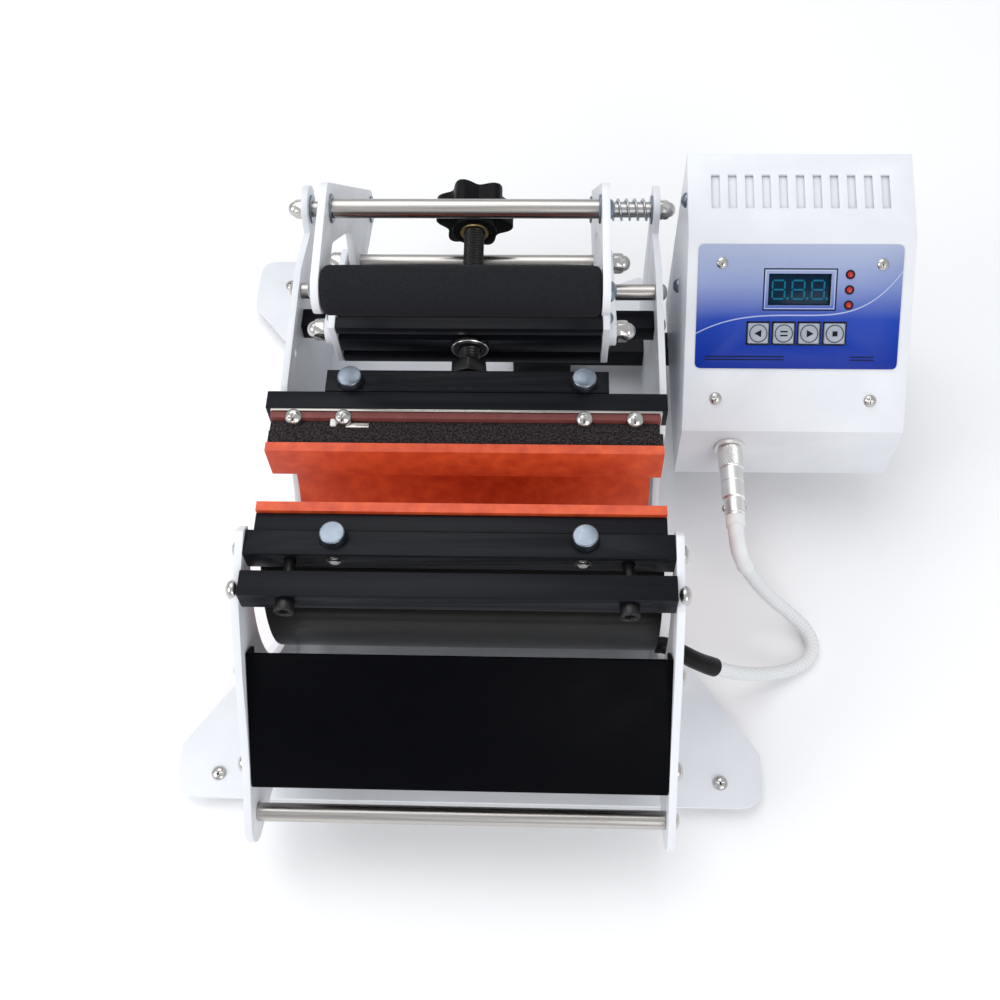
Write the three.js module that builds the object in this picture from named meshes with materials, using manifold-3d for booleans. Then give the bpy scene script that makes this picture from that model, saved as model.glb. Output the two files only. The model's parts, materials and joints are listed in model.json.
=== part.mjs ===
// Mug heat press: a bench press that wraps a curved heater round a mug and clamps it with a hand lever.
// Millimetres. X runs to the right, Y to the back and Z up, with the bench at Z = 0.
// Heights in the named places below are measured from the top face of the base plate.
import * as THREE from "three";
import { mergeVertices } from "three/addons/utils/BufferGeometryUtils.js";
import Module from "manifold-3d";

const wasm = await Module();
wasm.setup();

// Driving dimensions
const fit = 0.3; // gap between a hole and what sits in it, and between pieces that only touch
const plateSheet = 4; // side plates, lever plates, links and end plates
const baseSheet = 3;
const innerHalf = 109.5; // from the middle to the inner face of a side plate
const footHeight = 8;
const footRadius = 10;
const boreRadius = 49; // inside of the heater, where the mug goes
const padThickness = 5.5;
const jacketThickness = 10; // foam and thin shell behind the pad, at its neck
const roundThickness = 5.8; // the same layers where they wrap the bore
const throatHalf = 15.5; // half of the slot at the top of the heater
const barRadius = 5; // round bars and shafts
const railHeight = 14.5; // square bars of the rails and the jaw
const beamHalf = 74;
const beamDepth = 20;
const beamHeight = 38;
const screwRadius = 6;
const screwTilt = THREE.MathUtils.degToRad(8);
const knobRadius = 23;
const knobThickness = 16;
const gripRadius = 12.7;
const jawBackHalf = 77.5; // half length of the jaw's short bar
const pinchDepth = 10.6; // of the bar that holds the heater's front edge
const crossBarSize = { depth: 14, height: 12 };
const nutAcross = 13; // acorn nuts, across the flats
const boxWidth = 133;
const boxSheet = 1.5;
const leadRadius = 4.25;

// Places in the side view, as Y and height above the base plate
const bore = { y: -62.5, z: 82 };
const leverPivot = { y: 162, z: 113.5 };
const leverBarAt = { y: 108, z: 124 };
const beamAt = { y: 40, z: 144.5 };
const gripAt = { y: 10, z: 215 };
const leverCorner = { y: 64, z: 231 };
const spacerAt = { y: 62, z: 219 };
const frontTieAt = { y: -210, z: 45 };
const rearTieAt = { y: 98, z: 109 };
const rearCrossAt = { y: 85, z: 93 };
const panelTop = { y: -149.2, z: 119.6 };
const panelBottom = { y: -204, z: 69 };

// Sizes that follow from the ones above
const outerHalf = innerHalf + plateSheet;
const baseTop = footHeight + baseSheet;
const jacketInner = boreRadius + padThickness + fit / 2;
const wrapRadius = jacketInner + jacketThickness;
const wrapHalf = innerHalf - 3.6;
const plateOpening = wrapRadius + 2;
const railBottom = bore.z + wrapRadius - 9;
const railTop = railBottom + railHeight;
const pinchBack = bore.y - throatHalf - padThickness - fit;
const pinchFront = pinchBack - pinchDepth;
const holeRadius = barRadius + fit;
const leverOuter = beamHalf + 1;
const leverInner = leverOuter - plateSheet;
const endPlateInner = beamHalf + fit;
const endPlateOuter = endPlateInner + plateSheet;
const linkInner = endPlateOuter + 0.2;
const linkOuter = linkInner + plateSheet;

const paint = (color, roughness, metalness = 0) =>
  new THREE.MeshStandardMaterial({ color, roughness, metalness });
const whiteCoat = paint(0xe6e8ec, 0.45);
const blackAnodised = paint(0x2a2b30, 0.45, 0.3);
const blackPaint = paint(0x1d1d20, 0.5);
const blackPlastic = paint(0x1b1c1f, 0.4);
const stainless = paint(0xb9b6b0, 0.3, 1);
const zinc = paint(0xa9b2bd, 0.35, 1);
const aluminium = paint(0xc4c8cc, 0.35, 1);
const orangeSilicone = paint(0xe85a24, 0.6);
const darkFoam = paint(0x413a38, 0.95);
const gripFoam = paint(0x24252a, 0.9);
const darkRubber = paint(0x1a1a1a, 0.85);
const labelBlue = paint(0x3c5cb4, 0.35);
const displayTeal = paint(0x123238, 0.2);
const keyWhite = paint(0xd8dce2, 0.4);
const leadWhite = paint(0xdcdcd8, 0.6);

const root = new THREE.Group();
const press = new THREE.Group();
press.position.z = baseTop;
root.add(press);

function add(parent, name, geometry, material, x = 0, y = 0, z = 0) {
  const mesh = new THREE.Mesh(geometry, material);
  mesh.name = name;
  mesh.position.set(x, y, z);
  parent.add(mesh);
  return mesh;
}

// Solids for joining and cutting
function toSolid(geometry) {
  const bare = geometry.clone();
  bare.deleteAttribute("normal");
  bare.deleteAttribute("uv");
  const merged = mergeVertices(bare, 0.0001);
  const mesh = new wasm.Mesh({
    numProp: 3,
    vertProperties: merged.attributes.position.array,
    triVerts: new Uint32Array(merged.index.array),
  });
  return new wasm.Manifold(mesh);
}

function toGeometry(solid) {
  const mesh = solid.getMesh();
  const geometry = new THREE.BufferGeometry();
  geometry.setAttribute("position", new THREE.BufferAttribute(mesh.vertProperties, 3));
  geometry.setIndex(new THREE.BufferAttribute(mesh.triVerts, 1));
  geometry.computeVertexNormals();
  return geometry;
}

const join = (first, ...others) =>
  toGeometry(others.reduce((solid, other) => solid.add(toSolid(other)), toSolid(first)));
const cut = (first, ...tools) =>
  toGeometry(tools.reduce((solid, tool) => solid.subtract(toSolid(tool)), toSolid(first)));

// Basic shapes
const block = (sizeX, sizeY, sizeZ, x = 0, y = 0, z = 0) =>
  new THREE.BoxGeometry(sizeX, sizeY, sizeZ).translate(x, y, z);

// A box between two corners, each [x, y, z]
function span(low, high) {
  const size = high.map((value, axis) => value - low[axis]);
  const centre = high.map((value, axis) => (value + low[axis]) / 2);
  return block(...size, ...centre);
}

const rodX = (radius, from, to, sides = 20) =>
  new THREE.CylinderGeometry(radius, radius, to - from, sides)
    .rotateZ(-Math.PI / 2)
    .translate((from + to) / 2, 0, 0);
const rodY = (radius, from, to, sides = 20) =>
  new THREE.CylinderGeometry(radius, radius, to - from, sides).translate(0, (from + to) / 2, 0);
const rodZ = (radius, from, to, sides = 20) =>
  new THREE.CylinderGeometry(radius, radius, to - from, sides)
    .rotateX(Math.PI / 2)
    .translate(0, 0, (from + to) / 2);

// Points on an arc about a centre, from one angle to another in degrees
function arc(centre, radius, fromDegrees, toDegrees, steps) {
  const points = [];
  for (let step = 0; step <= steps; step++) {
    const angle = THREE.MathUtils.degToRad(fromDegrees + ((toDegrees - fromDegrees) * step) / steps);
    const across = centre.y + radius * Math.cos(angle);
    const up = centre.z + radius * Math.sin(angle);
    points.push(new THREE.Vector2(across, up));
  }
  return points;
}

// The points of a rounded corner between two straight edges
function corner(before, at, after, radius, steps = 4) {
  const here = new THREE.Vector2(...at);
  const back = new THREE.Vector2(...before).sub(here).normalize();
  const ahead = new THREE.Vector2(...after).sub(here).normalize();
  const length = radius / Math.tan(back.angleTo(ahead) / 2);
  const curve = new THREE.QuadraticBezierCurve(
    here.clone().addScaledVector(back, length),
    here,
    here.clone().addScaledVector(ahead, length),
  );
  return curve.getPoints(steps);
}

// An outline from corners [a, b, radius]; a corner without a radius stays sharp
function rounded(corners) {
  return corners.flatMap((at, index) => {
    const before = corners[(index + corners.length - 1) % corners.length];
    const after = corners[(index + 1) % corners.length];
    if (!at[2]) return [new THREE.Vector2(at[0], at[1])];
    return corner(before.slice(0, 2), at.slice(0, 2), after.slice(0, 2), at[2]);
  });
}

function shapeWithHoles(points, holes = []) {
  const shape = new THREE.Shape(points);
  for (const hole of holes) shape.holes.push(new THREE.Path(hole));
  return shape;
}

const hole = (centre, radius, sides = 20) => arc(centre, radius, 360, 360 / sides, sides - 1);

// A sheet whose outline is drawn in the side view, between two X places
function sheetX(shape, from, to) {
  const turn = new THREE.Matrix4().makeBasis(
    new THREE.Vector3(0, 1, 0),
    new THREE.Vector3(0, 0, 1),
    new THREE.Vector3(1, 0, 0),
  );
  const geometry = new THREE.ExtrudeGeometry(shape, { depth: to - from, bevelEnabled: false });
  return geometry.applyMatrix4(turn).translate(from, 0, 0);
}

const sheetZ = (shape, from, to) =>
  new THREE.ExtrudeGeometry(shape, { depth: to - from, bevelEnabled: false }).translate(0, 0, from);

// An acorn nut that stands on x = 0 and points along +X
function acornNut() {
  const hexRadius = nutAcross / 2 / Math.cos(Math.PI / 6);
  const hexLength = 6;
  const dome = new THREE.SphereGeometry(nutAcross / 2 - 0.6, 12, 8).translate(hexLength - 0.6, 0, 0);
  return join(rodX(hexRadius, 0, hexLength, 6), dome);
}

// A copy of a piece for the left or right side; a mirror would turn it inside out, so it is rotated
const facing = (geometry, side) => (side < 0 ? geometry.rotateZ(Math.PI) : geometry);

const sides = [
  { name: "left", sign: -1 },
  { name: "right", sign: 1 },
];

// A sheet of one side, given by its inner and outer distance from the middle
const sheetOnSide = (shape, sign, inner, outer) =>
  sign < 0 ? sheetX(shape, -outer, -inner) : sheetX(shape, inner, outer);

// Base plate: it reaches out in ears at the front and at the rear left, with a foot under each corner
const frontEdge = -190;
const frontEarBack = -158;
const frontEarRoot = -76;
const rearEarRoot = 105;
const rearEarFront = 174;
const rearEdge = 196;
const rearTongue = 205;
const earRear = 217;
const earHalf = 171;
const earCorner = 12;
const shoulderCorner = 8;
const footAt = { front: -175.5, rear: 194, half: 146.5, rightRear: 90 };

function basePlate() {
  const outline = rounded([
    [-earHalf, frontEdge, earCorner + 3],
    [earHalf, frontEdge, earCorner + 3],
    [earHalf, frontEarBack, shoulderCorner],
    [outerHalf, frontEarRoot],
    [outerHalf, rearTongue, shoulderCorner / 2],
    [outerHalf - 20, rearEdge],
    [-outerHalf + 20, rearEdge],
    [-outerHalf, earRear],
    [-earHalf, earRear, earCorner],
    [-earHalf, rearEarFront, shoulderCorner],
    [-outerHalf, rearEarRoot],
    [-outerHalf, frontEarRoot],
    [-earHalf, frontEarBack, shoulderCorner],
  ]);
  return sheetZ(shapeWithHoles(outline), footHeight, baseTop);
}

const foot = () =>
  new THREE.CylinderGeometry(footRadius, footRadius - 1.5, footHeight, 20).rotateX(Math.PI / 2);

function addBase() {
  add(root, "base_plate", basePlate(), whiteCoat);
  const feet = [
    ["foot_front_left", -footAt.half, footAt.front],
    ["foot_front_right", footAt.half, footAt.front],
    ["foot_rear_left", -footAt.half, footAt.rear],
    ["foot_rear_right", footAt.rightRear, footAt.rear - 14],
  ];
  for (const [name, x, y] of feet) add(root, name, foot(), darkRubber, x, y, footHeight / 2);
}

// Side plates: a tongue with the front tie bar, the horn that holds the rails, the round opening for
// the mug, and the ear of the pivot
const armFront = 115;
const armBack = 132;
const armTop = 26;
const plateFront = -150;
const plateBack = 170;
const pivotEar = 15;
const hornFront = -134;
const hornKnee = { y: -162, z: 116 };
const tongueKnee = { y: -182, z: 92 };
const tongueTop = { y: -196, z: 77 };
const tongueRound = 16;

function armSlot() {
  const low = armFront - fit;
  const high = armBack + fit;
  const top = armTop + fit;
  return [[low, 0], [low, top], [high, top], [high, 0]];
}

function sidePlateShape(slot) {
  const points = [
    ...rounded([[plateFront, 0], ...slot, [plateBack, 0, 6], [plateBack, leverPivot.z - 2 * pivotEar]]),
    ...arc(leverPivot, pivotEar, -57, 150, 10),
    ...rounded([
      [leverPivot.y - pivotEar - 1, leverPivot.z - 5],
      [leverBarAt.y, leverPivot.z + 4.5],
      [bore.y + plateOpening + 19.85, leverPivot.z - 2.5, 6],
      [bore.y + plateOpening, bore.z + 14],
    ]).slice(0, -1),
    ...arc(bore, plateOpening, 10, -242, 36),
    ...rounded([
      [pinchFront + 3.4, railTop - 3],
      [pinchFront - 2.6, railTop + 3.5, 4],
      [hornFront, railTop - 8.5, 4],
      [hornKnee.y, hornKnee.z],
      [tongueKnee.y, tongueKnee.z],
      [tongueTop.y, tongueTop.z],
    ]),
    ...arc(frontTieAt, tongueRound, 150, 242, 6),
  ];
  return shapeWithHoles(points, [hole(leverPivot, holeRadius), hole({ y: 55, z: 103 }, 3, 12)]);
}

function addFrame() {
  for (const side of sides) {
    const shape = sidePlateShape(side.sign > 0 ? armSlot() : []);
    add(press, "side_plate_" + side.name, sheetOnSide(shape, side.sign, innerHalf, outerHalf), whiteCoat);
  }
  const tie = () => rodX(barRadius, -innerHalf, innerHalf);
  add(press, "front_tie_bar", tie(), stainless, 0, frontTieAt.y, frontTieAt.z);
  add(press, "rear_tie_bar", tie(), stainless, 0, rearTieAt.y, rearTieAt.z);
  const crossBar = block(2 * innerHalf, crossBarSize.depth, crossBarSize.height);
  add(press, "rear_cross_bar", crossBar, blackAnodised, 0, rearCrossAt.y, rearCrossAt.z);
}

// Front panel: a black sheet with folded sides, leaning back between the side plates
const panelSheet = 2;
const panelFold = 12;

function addFrontPanel() {
  const top = new THREE.Vector2(panelTop.y, panelTop.z);
  const bottom = new THREE.Vector2(panelBottom.y, panelBottom.z);
  const half = innerHalf - fit;
  const length = top.distanceTo(bottom);
  const face = span([-half, -length, -panelSheet], [half, 0, 0]);
  const leftFold = span([-half, -length, -panelFold], [-half + panelSheet, 0, -panelSheet / 2]);
  const rightFold = span([half - panelSheet, -length, -panelFold], [half, 0, -panelSheet / 2]);
  const panel = add(press, "front_panel", join(face, leftFold, rightFold), blackPaint, 0, top.x, top.y);
  panel.rotation.x = top.clone().sub(bottom).angle();
}

// Front rails: two bars joined by studs across a gap, and the pinch bar that holds the heater's front edge
const railDepth = 14;
const railGap = 9;
const backRailBack = pinchFront - fit;
const backRailFront = backRailBack - railDepth;
const frontRailBack = backRailFront - railGap;
const frontRailFront = frontRailBack - railDepth;
const pinchTop = railTop - 2;
const pinchBottom = pinchTop - railHeight;
const boltX = 64;
const studX = 86;
const boltRadius = 3;
const boltHeadRadius = 7.5;
const boltHeadHeight = 5;
const boltInset = 3.6; // from the back of the rail to the bolts' axis
const studStop = 2; // of the rail left behind the blind holes

const boltHoles = (y) =>
  [-boltX, boltX].map((x) => rodZ(boltRadius + fit, railBottom - 1, railTop + 1, 12).translate(x, y, 0));
const railMiddle = (railBottom + railTop) / 2;
const studHoles = (from, to) =>
  [-studX, studX].map((x) => rodY(boltRadius + fit, from, to, 12).translate(x, 0, railMiddle));

const squareBar = (half, front, back, bottom = railBottom, top = railTop) =>
  span([-half, front, bottom], [half, back, top]);

// A plain round-headed bolt, head on z = 0, shank downwards
function clampBolt() {
  const head = new THREE.CylinderGeometry(boltHeadRadius - 1, boltHeadRadius, boltHeadHeight, 20);
  head.rotateX(Math.PI / 2).translate(0, 0, boltHeadHeight / 2);
  const shank = rodZ(boltRadius, 2 - railHeight, 1, 12);
  return join(head, shank);
}

// A socket screw along +Y, its head in front of y = 0
function railStud(length) {
  const head = rodY(5, -6, 0, 20);
  const socket = rodY(2.9, -7, -3, 6);
  return cut(join(head, rodY(boltRadius, -1, length, 12)), socket);
}

function addRails() {
  const boltY = backRailBack - boltInset;
  const studLength = backRailBack - frontRailFront - studStop - 1;
  const frontBar = squareBar(innerHalf, frontRailFront, frontRailBack);
  const backBar = squareBar(innerHalf, backRailFront, backRailBack);
  const throughHoles = studHoles(frontRailFront - 1, frontRailBack + 1);
  const blindHoles = studHoles(backRailFront - 1, backRailBack - studStop);
  add(press, "front_rail", cut(frontBar, ...throughHoles), blackAnodised);
  add(press, "back_rail", cut(backBar, ...blindHoles, ...boltHoles(boltY)), blackAnodised);
  const pinchBar = squareBar(wrapHalf, pinchFront, pinchBack, pinchBottom, pinchTop);
  add(press, "pinch_bar", pinchBar, blackAnodised);
  for (const side of sides) {
    const stud = railStud(studLength);
    add(press, "rail_stud_" + side.name, stud, stainless, side.sign * studX, frontRailFront, railMiddle);
    add(press, "pinch_bolt_" + side.name, clampBolt(), zinc, side.sign * boltX, boltY, railTop);
  }
}

// Heater: a pad and a foam jacket round the bore. The front half is fixed, the rear half moves with the
// jaw, and each half runs from the bottom up to a neck beside the throat.
function wrapLayer(inner, outer, sign, topZ, neckThickness = outer - inner) {
  const offsetAt = (radius, z) => Math.sqrt(Math.max(radius ** 2 - (z - bore.z) ** 2, 0));
  const neckInner = Math.max(throatHalf + inner - boreRadius, offsetAt(inner, topZ));
  const neckOuter = Math.max(throatHalf + inner + neckThickness - boreRadius, offsetAt(outer, topZ));
  const angleAt = (radius, offset) => THREE.MathUtils.radToDeg(Math.acos(offset / radius));
  const bottomAngle = (radius) => -90 + THREE.MathUtils.radToDeg(fit / 2 / radius);
  const points = [
    ...arc({ y: 0, z: bore.z }, outer, bottomAngle(outer), angleAt(outer, neckOuter), 22),
    new THREE.Vector2(neckOuter, topZ),
    new THREE.Vector2(neckInner, topZ),
    ...arc({ y: 0, z: bore.z }, inner, angleAt(inner, neckInner), bottomAngle(inner), 22),
  ];
  const placed = points.map((point) => new THREE.Vector2(bore.y + sign * point.x, point.y));
  const bare = placed.filter((point, index) => index === 0 || point.distanceTo(placed[index - 1]) > 0.01);
  return sheetX(shapeWithHoles(bare), -wrapHalf, wrapHalf);
}

const heaterHalf = (parent, place, sign, jacketTop) => {
  const pad = wrapLayer(boreRadius, boreRadius + padThickness, sign, railTop);
  const jacket = wrapLayer(jacketInner, jacketInner + roundThickness, sign, jacketTop, jacketThickness);
  add(parent, "heater_pad_" + place, pad, orangeSilicone);
  add(parent, "heater_jacket_" + place, jacket, darkFoam);
};

// Rear jaw: a clamp strip and two bars that push the heater's rear neck forward
const stripThickness = 11.4;
const jawBarDepth = 11.2;
const jacketBack = bore.y + throatHalf + wrapRadius - boreRadius;
const stripFront = jacketBack + fit;
const stripBack = stripFront + stripThickness;
const jawFront = stripBack + 0.2;
const jawMiddle = jawFront + jawBarDepth;
const jawBack = jawMiddle + fit + railDepth;

function addJaw() {
  const strip = squareBar(wrapHalf, stripFront, stripBack, railBottom + 3);
  const boltY = (jawMiddle + jawBack) / 2;
  const backBar = squareBar(jawBackHalf, jawMiddle + fit, jawBack);
  add(press, "jaw_strip", strip, aluminium);
  add(press, "jaw_front_bar", squareBar(innerHalf - 0.6, jawFront, jawMiddle), blackAnodised);
  add(press, "jaw_back_bar", cut(backBar, ...boltHoles(boltY)), blackAnodised);
  for (const side of sides) {
    add(press, "jaw_bolt_" + side.name, clampBolt(), zinc, side.sign * boltX, boltY, railTop);
  }
}

// A round bar with an acorn nut on each end
function nuttedBar(half) {
  const nuts = sides.map((side) => facing(acornNut(), side.sign).translate(side.sign * half, 0, 0));
  return join(rodX(barRadius, -half - 1, half + 1), ...nuts);
}

// Compression spring on the pivot shaft: a round wire wound between the lever plate and the side plate
const springWire = 0.6;
const springRadius = 6.4;
const springTurns = 9;
const stepsPerTurn = 8;
const wireSides = 5;
const wireTurn = 360 - 360 / wireSides;

class Helix extends THREE.Curve {
  constructor(from, to) {
    super();
    this.from = from;
    this.to = to;
  }

  getPoint(share, target = new THREE.Vector3()) {
    const angle = share * springTurns * 2 * Math.PI;
    const x = this.from + (this.to - this.from) * share;
    return target.set(x, springRadius * Math.cos(angle), springRadius * Math.sin(angle));
  }

  // Even steps in angle are even steps in length on a helix
  getPointAt(share, target) {
    return this.getPoint(share, target);
  }
}

function springSelfGap(curve) {
  const count = springTurns * stepsPerTurn;
  const points = Array.from({ length: count + 1 }, (_, step) => curve.getPoint(step / count));
  let nearest = Infinity;
  points.forEach((point, index) => {
    const others = points.slice(index + stepsPerTurn - 1);
    nearest = Math.min(nearest, ...others.map((other) => point.distanceTo(other)));
  });
  return nearest - 2 * springWire;
}

function returnSpring() {
  const end = springWire + fit;
  const curve = new Helix(leverOuter + end, innerHalf - end);
  console.log("spring: least gap between turns " + springSelfGap(curve).toFixed(2) + " mm");
  const section = new THREE.Shape(arc({ y: 0, z: 0 }, springWire, 0, wireTurn, wireSides - 1));
  return new THREE.ExtrudeGeometry(section, { steps: springTurns * stepsPerTurn, extrudePath: curve });
}

// Lever: two bent plates, the grip between their front ends, a spacer at the bend and a bar near the pivot
const gripEar = 12;
const gripEarAngle = 103;

function leverPlateShape() {
  const toEar = THREE.MathUtils.degToRad(gripEarAngle);
  const earTop = [gripAt.y + gripEar * Math.cos(toEar), gripAt.z + gripEar * Math.sin(toEar)];
  const earBottom = [2 * gripAt.y - earTop[0], 2 * gripAt.z - earTop[1]];
  const points = [
    ...arc(leverBarAt, 12, 185, 285, 7),
    ...arc(leverPivot, 12, 260, 396, 9),
    ...rounded([
      [leverPivot.y + 11, leverPivot.z + 7],
      [leverCorner.y + 2, leverCorner.z + 3, 9],
      earTop,
    ]).slice(1, -1),
    ...arc(gripAt, gripEar, gripEarAngle, gripEarAngle + 180, 9),
    ...rounded([
      earBottom,
      [leverCorner.y - 14, leverCorner.z - 25, 9],
      [99, 163, 14],
      [94, leverBarAt.z + 14, 5],
      [leverBarAt.y - 12, leverBarAt.z],
    ]).slice(1, -1),
  ];
  return shapeWithHoles(points, [hole(leverPivot, holeRadius), hole(leverBarAt, holeRadius)]);
}

function addLever() {
  const gripHalf = leverInner - fit;
  const gripBore = rodX(holeRadius, -leverInner - 1, leverInner + 1);
  const gripTube = cut(rodX(gripRadius, -gripHalf, gripHalf, 24), gripBore);
  const rod = () => rodX(barRadius, -leverInner, leverInner);
  for (const side of sides) {
    const plate = sheetOnSide(leverPlateShape(), side.sign, leverInner, leverOuter);
    add(press, "lever_plate_" + side.name, plate, whiteCoat);
  }
  add(press, "lever_grip", gripTube, gripFoam, 0, gripAt.y, gripAt.z);
  add(press, "grip_rod", rod(), stainless, 0, gripAt.y, gripAt.z);
  add(press, "lever_spacer_bar", rod(), stainless, 0, spacerAt.y, spacerAt.z);
  add(press, "lever_bar", nuttedBar(linkOuter + 0.2), stainless, 0, leverBarAt.y, leverBarAt.z);
  add(press, "pivot_shaft", nuttedBar(outerHalf), stainless, 0, leverPivot.y, leverPivot.z);
  add(press, "return_spring", returnSpring(), stainless, 0, leverPivot.y, leverPivot.z);
}

// Links: from the lever bar to the cross-beam, each with its acorn nut at the beam end
function addLinks() {
  const reach = Math.hypot(beamAt.y - leverBarAt.y, beamAt.z - leverBarAt.z);
  const tilt = Math.atan2(beamAt.z - leverBarAt.z, beamAt.y - leverBarAt.y);
  const start = { y: 0, z: 0 };
  const end = { y: reach, z: 0 };
  const outline = [...arc(end, 8, -90, 90, 8), ...arc(start, 8, 90, 270, 8)];
  const shape = shapeWithHoles(outline, [hole(start, holeRadius)]);
  for (const side of sides) {
    const nut = facing(acornNut(), side.sign).translate(side.sign * (linkOuter - 0.5), reach, 0);
    const link = join(sheetOnSide(shape, side.sign, linkInner, linkOuter), nut);
    const mesh = add(press, "link_" + side.name, link, whiteCoat, 0, leverBarAt.y, leverBarAt.z);
    mesh.rotation.x = tilt;
  }
}

// Cross-beam and pressure screw: both lean with the screw, whose axis is the local Y axis here
const beamFront = -beamDepth / 2;
const grooveWidth = 6.2;
const grooveDepth = 5.5;
const screwHole = screwRadius + fit;

function beamProfile() {
  const front = beamDepth / 2;
  const top = beamHeight / 2;
  const grooves = [
    [front, top / 2, 1, 0],
    [front, -top / 2, 1, 0],
    [-front, top / 2, -1, 0],
    [-front, -top / 2, -1, 0],
    [0, top, 0, 1],
    [0, -top, 0, -1],
  ];
  const body = block(2 * beamHalf, beamDepth, beamHeight);
  const tools = grooves.map(([y, z, outY]) =>
    outY
      ? block(2 * beamHalf + 2, 2 * grooveDepth, grooveWidth, 0, y, z)
      : block(2 * beamHalf + 2, grooveWidth, 2 * grooveDepth, 0, y, z),
  );
  return cut(body, ...tools, rodY(screwHole, -beamDepth, beamDepth));
}

function knobOutline() {
  const lobes = 6;
  const steps = 60;
  return Array.from({ length: steps }, (_, step) => {
    const angle = (step / steps) * 2 * Math.PI;
    const radius = knobRadius - 3 + 3 * Math.cos(lobes * angle);
    return new THREE.Vector2(radius * Math.cos(angle), radius * Math.sin(angle));
  });
}

function addPressureScrew() {
  const tipY = jawBack + 1.15;
  const group = new THREE.Group();
  group.position.set(0, beamAt.y, beamAt.z);
  group.rotation.x = screwTilt;
  press.add(group);
  const screwFront = (tipY - beamAt.y) / Math.cos(screwTilt);
  const knobFront = 72;
  const knobBack = knobFront + knobThickness;
  const knobTurn = THREE.MathUtils.degToRad(10);
  const bossLength = 6;
  const screwBack = knobBack - 5;
  add(group, "cross_beam", beamProfile(), blackAnodised);
  for (const side of sides) {
    const low = Math.min(side.sign * endPlateInner, side.sign * endPlateOuter);
    const plate = span([low, beamFront, -beamHeight / 2], [low + plateSheet, -beamFront, beamHeight / 2]);
    add(group, "beam_end_plate_" + side.name, plate, whiteCoat);
  }
  const ring = cut(rodY(10.5, beamFront - 3.3, beamFront - fit, 24), rodY(screwHole, -40, 0));
  add(group, "beam_bushing", ring, zinc);
  add(group, "pressure_screw", rodY(screwRadius, screwFront, screwBack, 24), stainless);
  const nutBack = screwFront + 11;
  const nut = cut(rodY(11, nutBack - 8, nutBack, 6), rodY(screwHole, -60, 0));
  add(group, "screw_nut", nut, stainless);
  const lobes = new THREE.ExtrudeGeometry(new THREE.Shape(knobOutline()), {
    depth: knobThickness,
    bevelEnabled: false,
  });
  lobes.rotateX(-Math.PI / 2).rotateY(knobTurn).translate(0, knobFront, 0);
  const boss = rodY(13, knobFront - bossLength, knobFront + 1, 24);
  const bore = rodY(screwHole, knobFront - bossLength - 1, screwBack + fit);
  add(group, "star_knob", cut(join(lobes, boss), bore), blackPlastic);
}

// Control box: a folded sheet shell with a sloping face, on an arm that comes out through the right
// side plate
const boxLeft = outerHalf + 12.5;
const boxRight = boxLeft + boxWidth;
const boxBottom = armTop;
const boxFront = 19.5;
const boxBack = 157;
const faceBottom = { y: boxFront, z: 74 };
const faceTop = { y: 106.3, z: 151 };
const boxTop = { y: boxBack, z: 166 };
const faceAngle = Math.atan2(faceTop.z - faceBottom.z, faceTop.y - faceBottom.y);
const socketAt = { x: boxLeft + 31, z: 57 };
const floorSheet = 2;
const switchAt = { y: 98, z: 112 };
const inletAt = { x: boxRight - 33, z: 52 };
const inletSize = { width: 28, height: 21, depth: 18, flange: 2, wall: 2 };
const relaySize = { width: 44, depth: 45, height: 28 };
const relayAt = { fromRight: 18, y: 60 };
const board = { fromLeft: 10, fromRight: 16, top: 12, bottom: 100, below: 11, thickness: 1.6 };

// Window and keys, as distances from the left edge of the face and down from its top edge
const displayWindow = { left: 48, right: 85, top: 22, bottom: 40.5 };
const keyFromLeft = [43, 58, 73, 88];
const keyDown = 57;
const keyHoleSize = 13;
const keySize = keyHoleSize - 3 * fit;
const label = { left: 6.2, right: 126, top: 5, bottom: 78, thickness: 0.5, corner: 3.5 };

// The box's outline in the side view, drawn in by the same distance all round
function boxOutline(inset, bottom) {
  const lean = inset / Math.cos(faceAngle);
  const roofSlope = (boxTop.z - faceTop.z) / (boxTop.y - faceTop.y);
  const faceSlope = Math.tan(faceAngle);
  const frontTop = faceBottom.z - lean + inset * faceSlope;
  const backTop = boxTop.z - inset * Math.hypot(1, roofSlope) - inset * roofSlope;
  const faceLine = (y) => faceBottom.z - lean + (y - boxFront) * faceSlope;
  const roofLine = (y) => boxTop.z - inset * Math.hypot(1, roofSlope) + (y - boxBack) * roofSlope;
  const ridge = (roofLine(0) - faceLine(0)) / (faceSlope - roofSlope);
  return [
    [boxFront + inset, bottom],
    [boxBack - inset, bottom],
    [boxBack - inset, backTop],
    [ridge, roofLine(ridge)],
    [boxFront + inset, frontTop],
  ].map(([y, z]) => new THREE.Vector2(y, z));
}

// A frame on the sloping face: X to the right from the left edge, Y up the slope to the top edge,
// Z outwards
function faceFrame() {
  const frame = new THREE.Group();
  frame.position.set(boxLeft, faceTop.y, faceTop.z);
  frame.rotation.x = faceAngle;
  press.add(frame);
  return frame;
}

// The openings in the face, in the face's frame
function faceOpenings(low, high) {
  const half = keyHoleSize / 2;
  const keyHoles = keyFromLeft.map((x) =>
    span([x - half, -keyDown - half, low], [x + half, -keyDown + half, high]),
  );
  const { left, right, top, bottom } = displayWindow;
  return [span([left, -bottom, low], [right, -top, high]), ...keyHoles];
}

const ventSize = { width: 5, length: 21 };
const ventMiddle = (faceTop.y + boxBack) / 2 + 2;

function ventSlots() {
  const count = 11;
  const pitch = 10;
  const middle = (boxLeft + boxRight) / 2;
  return Array.from({ length: count }, (_, slot) => {
    const x = middle + (slot - (count - 1) / 2) * pitch;
    return block(ventSize.width, ventSize.length, 30, x, ventMiddle, boxTop.z - 4);
  });
}

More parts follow.
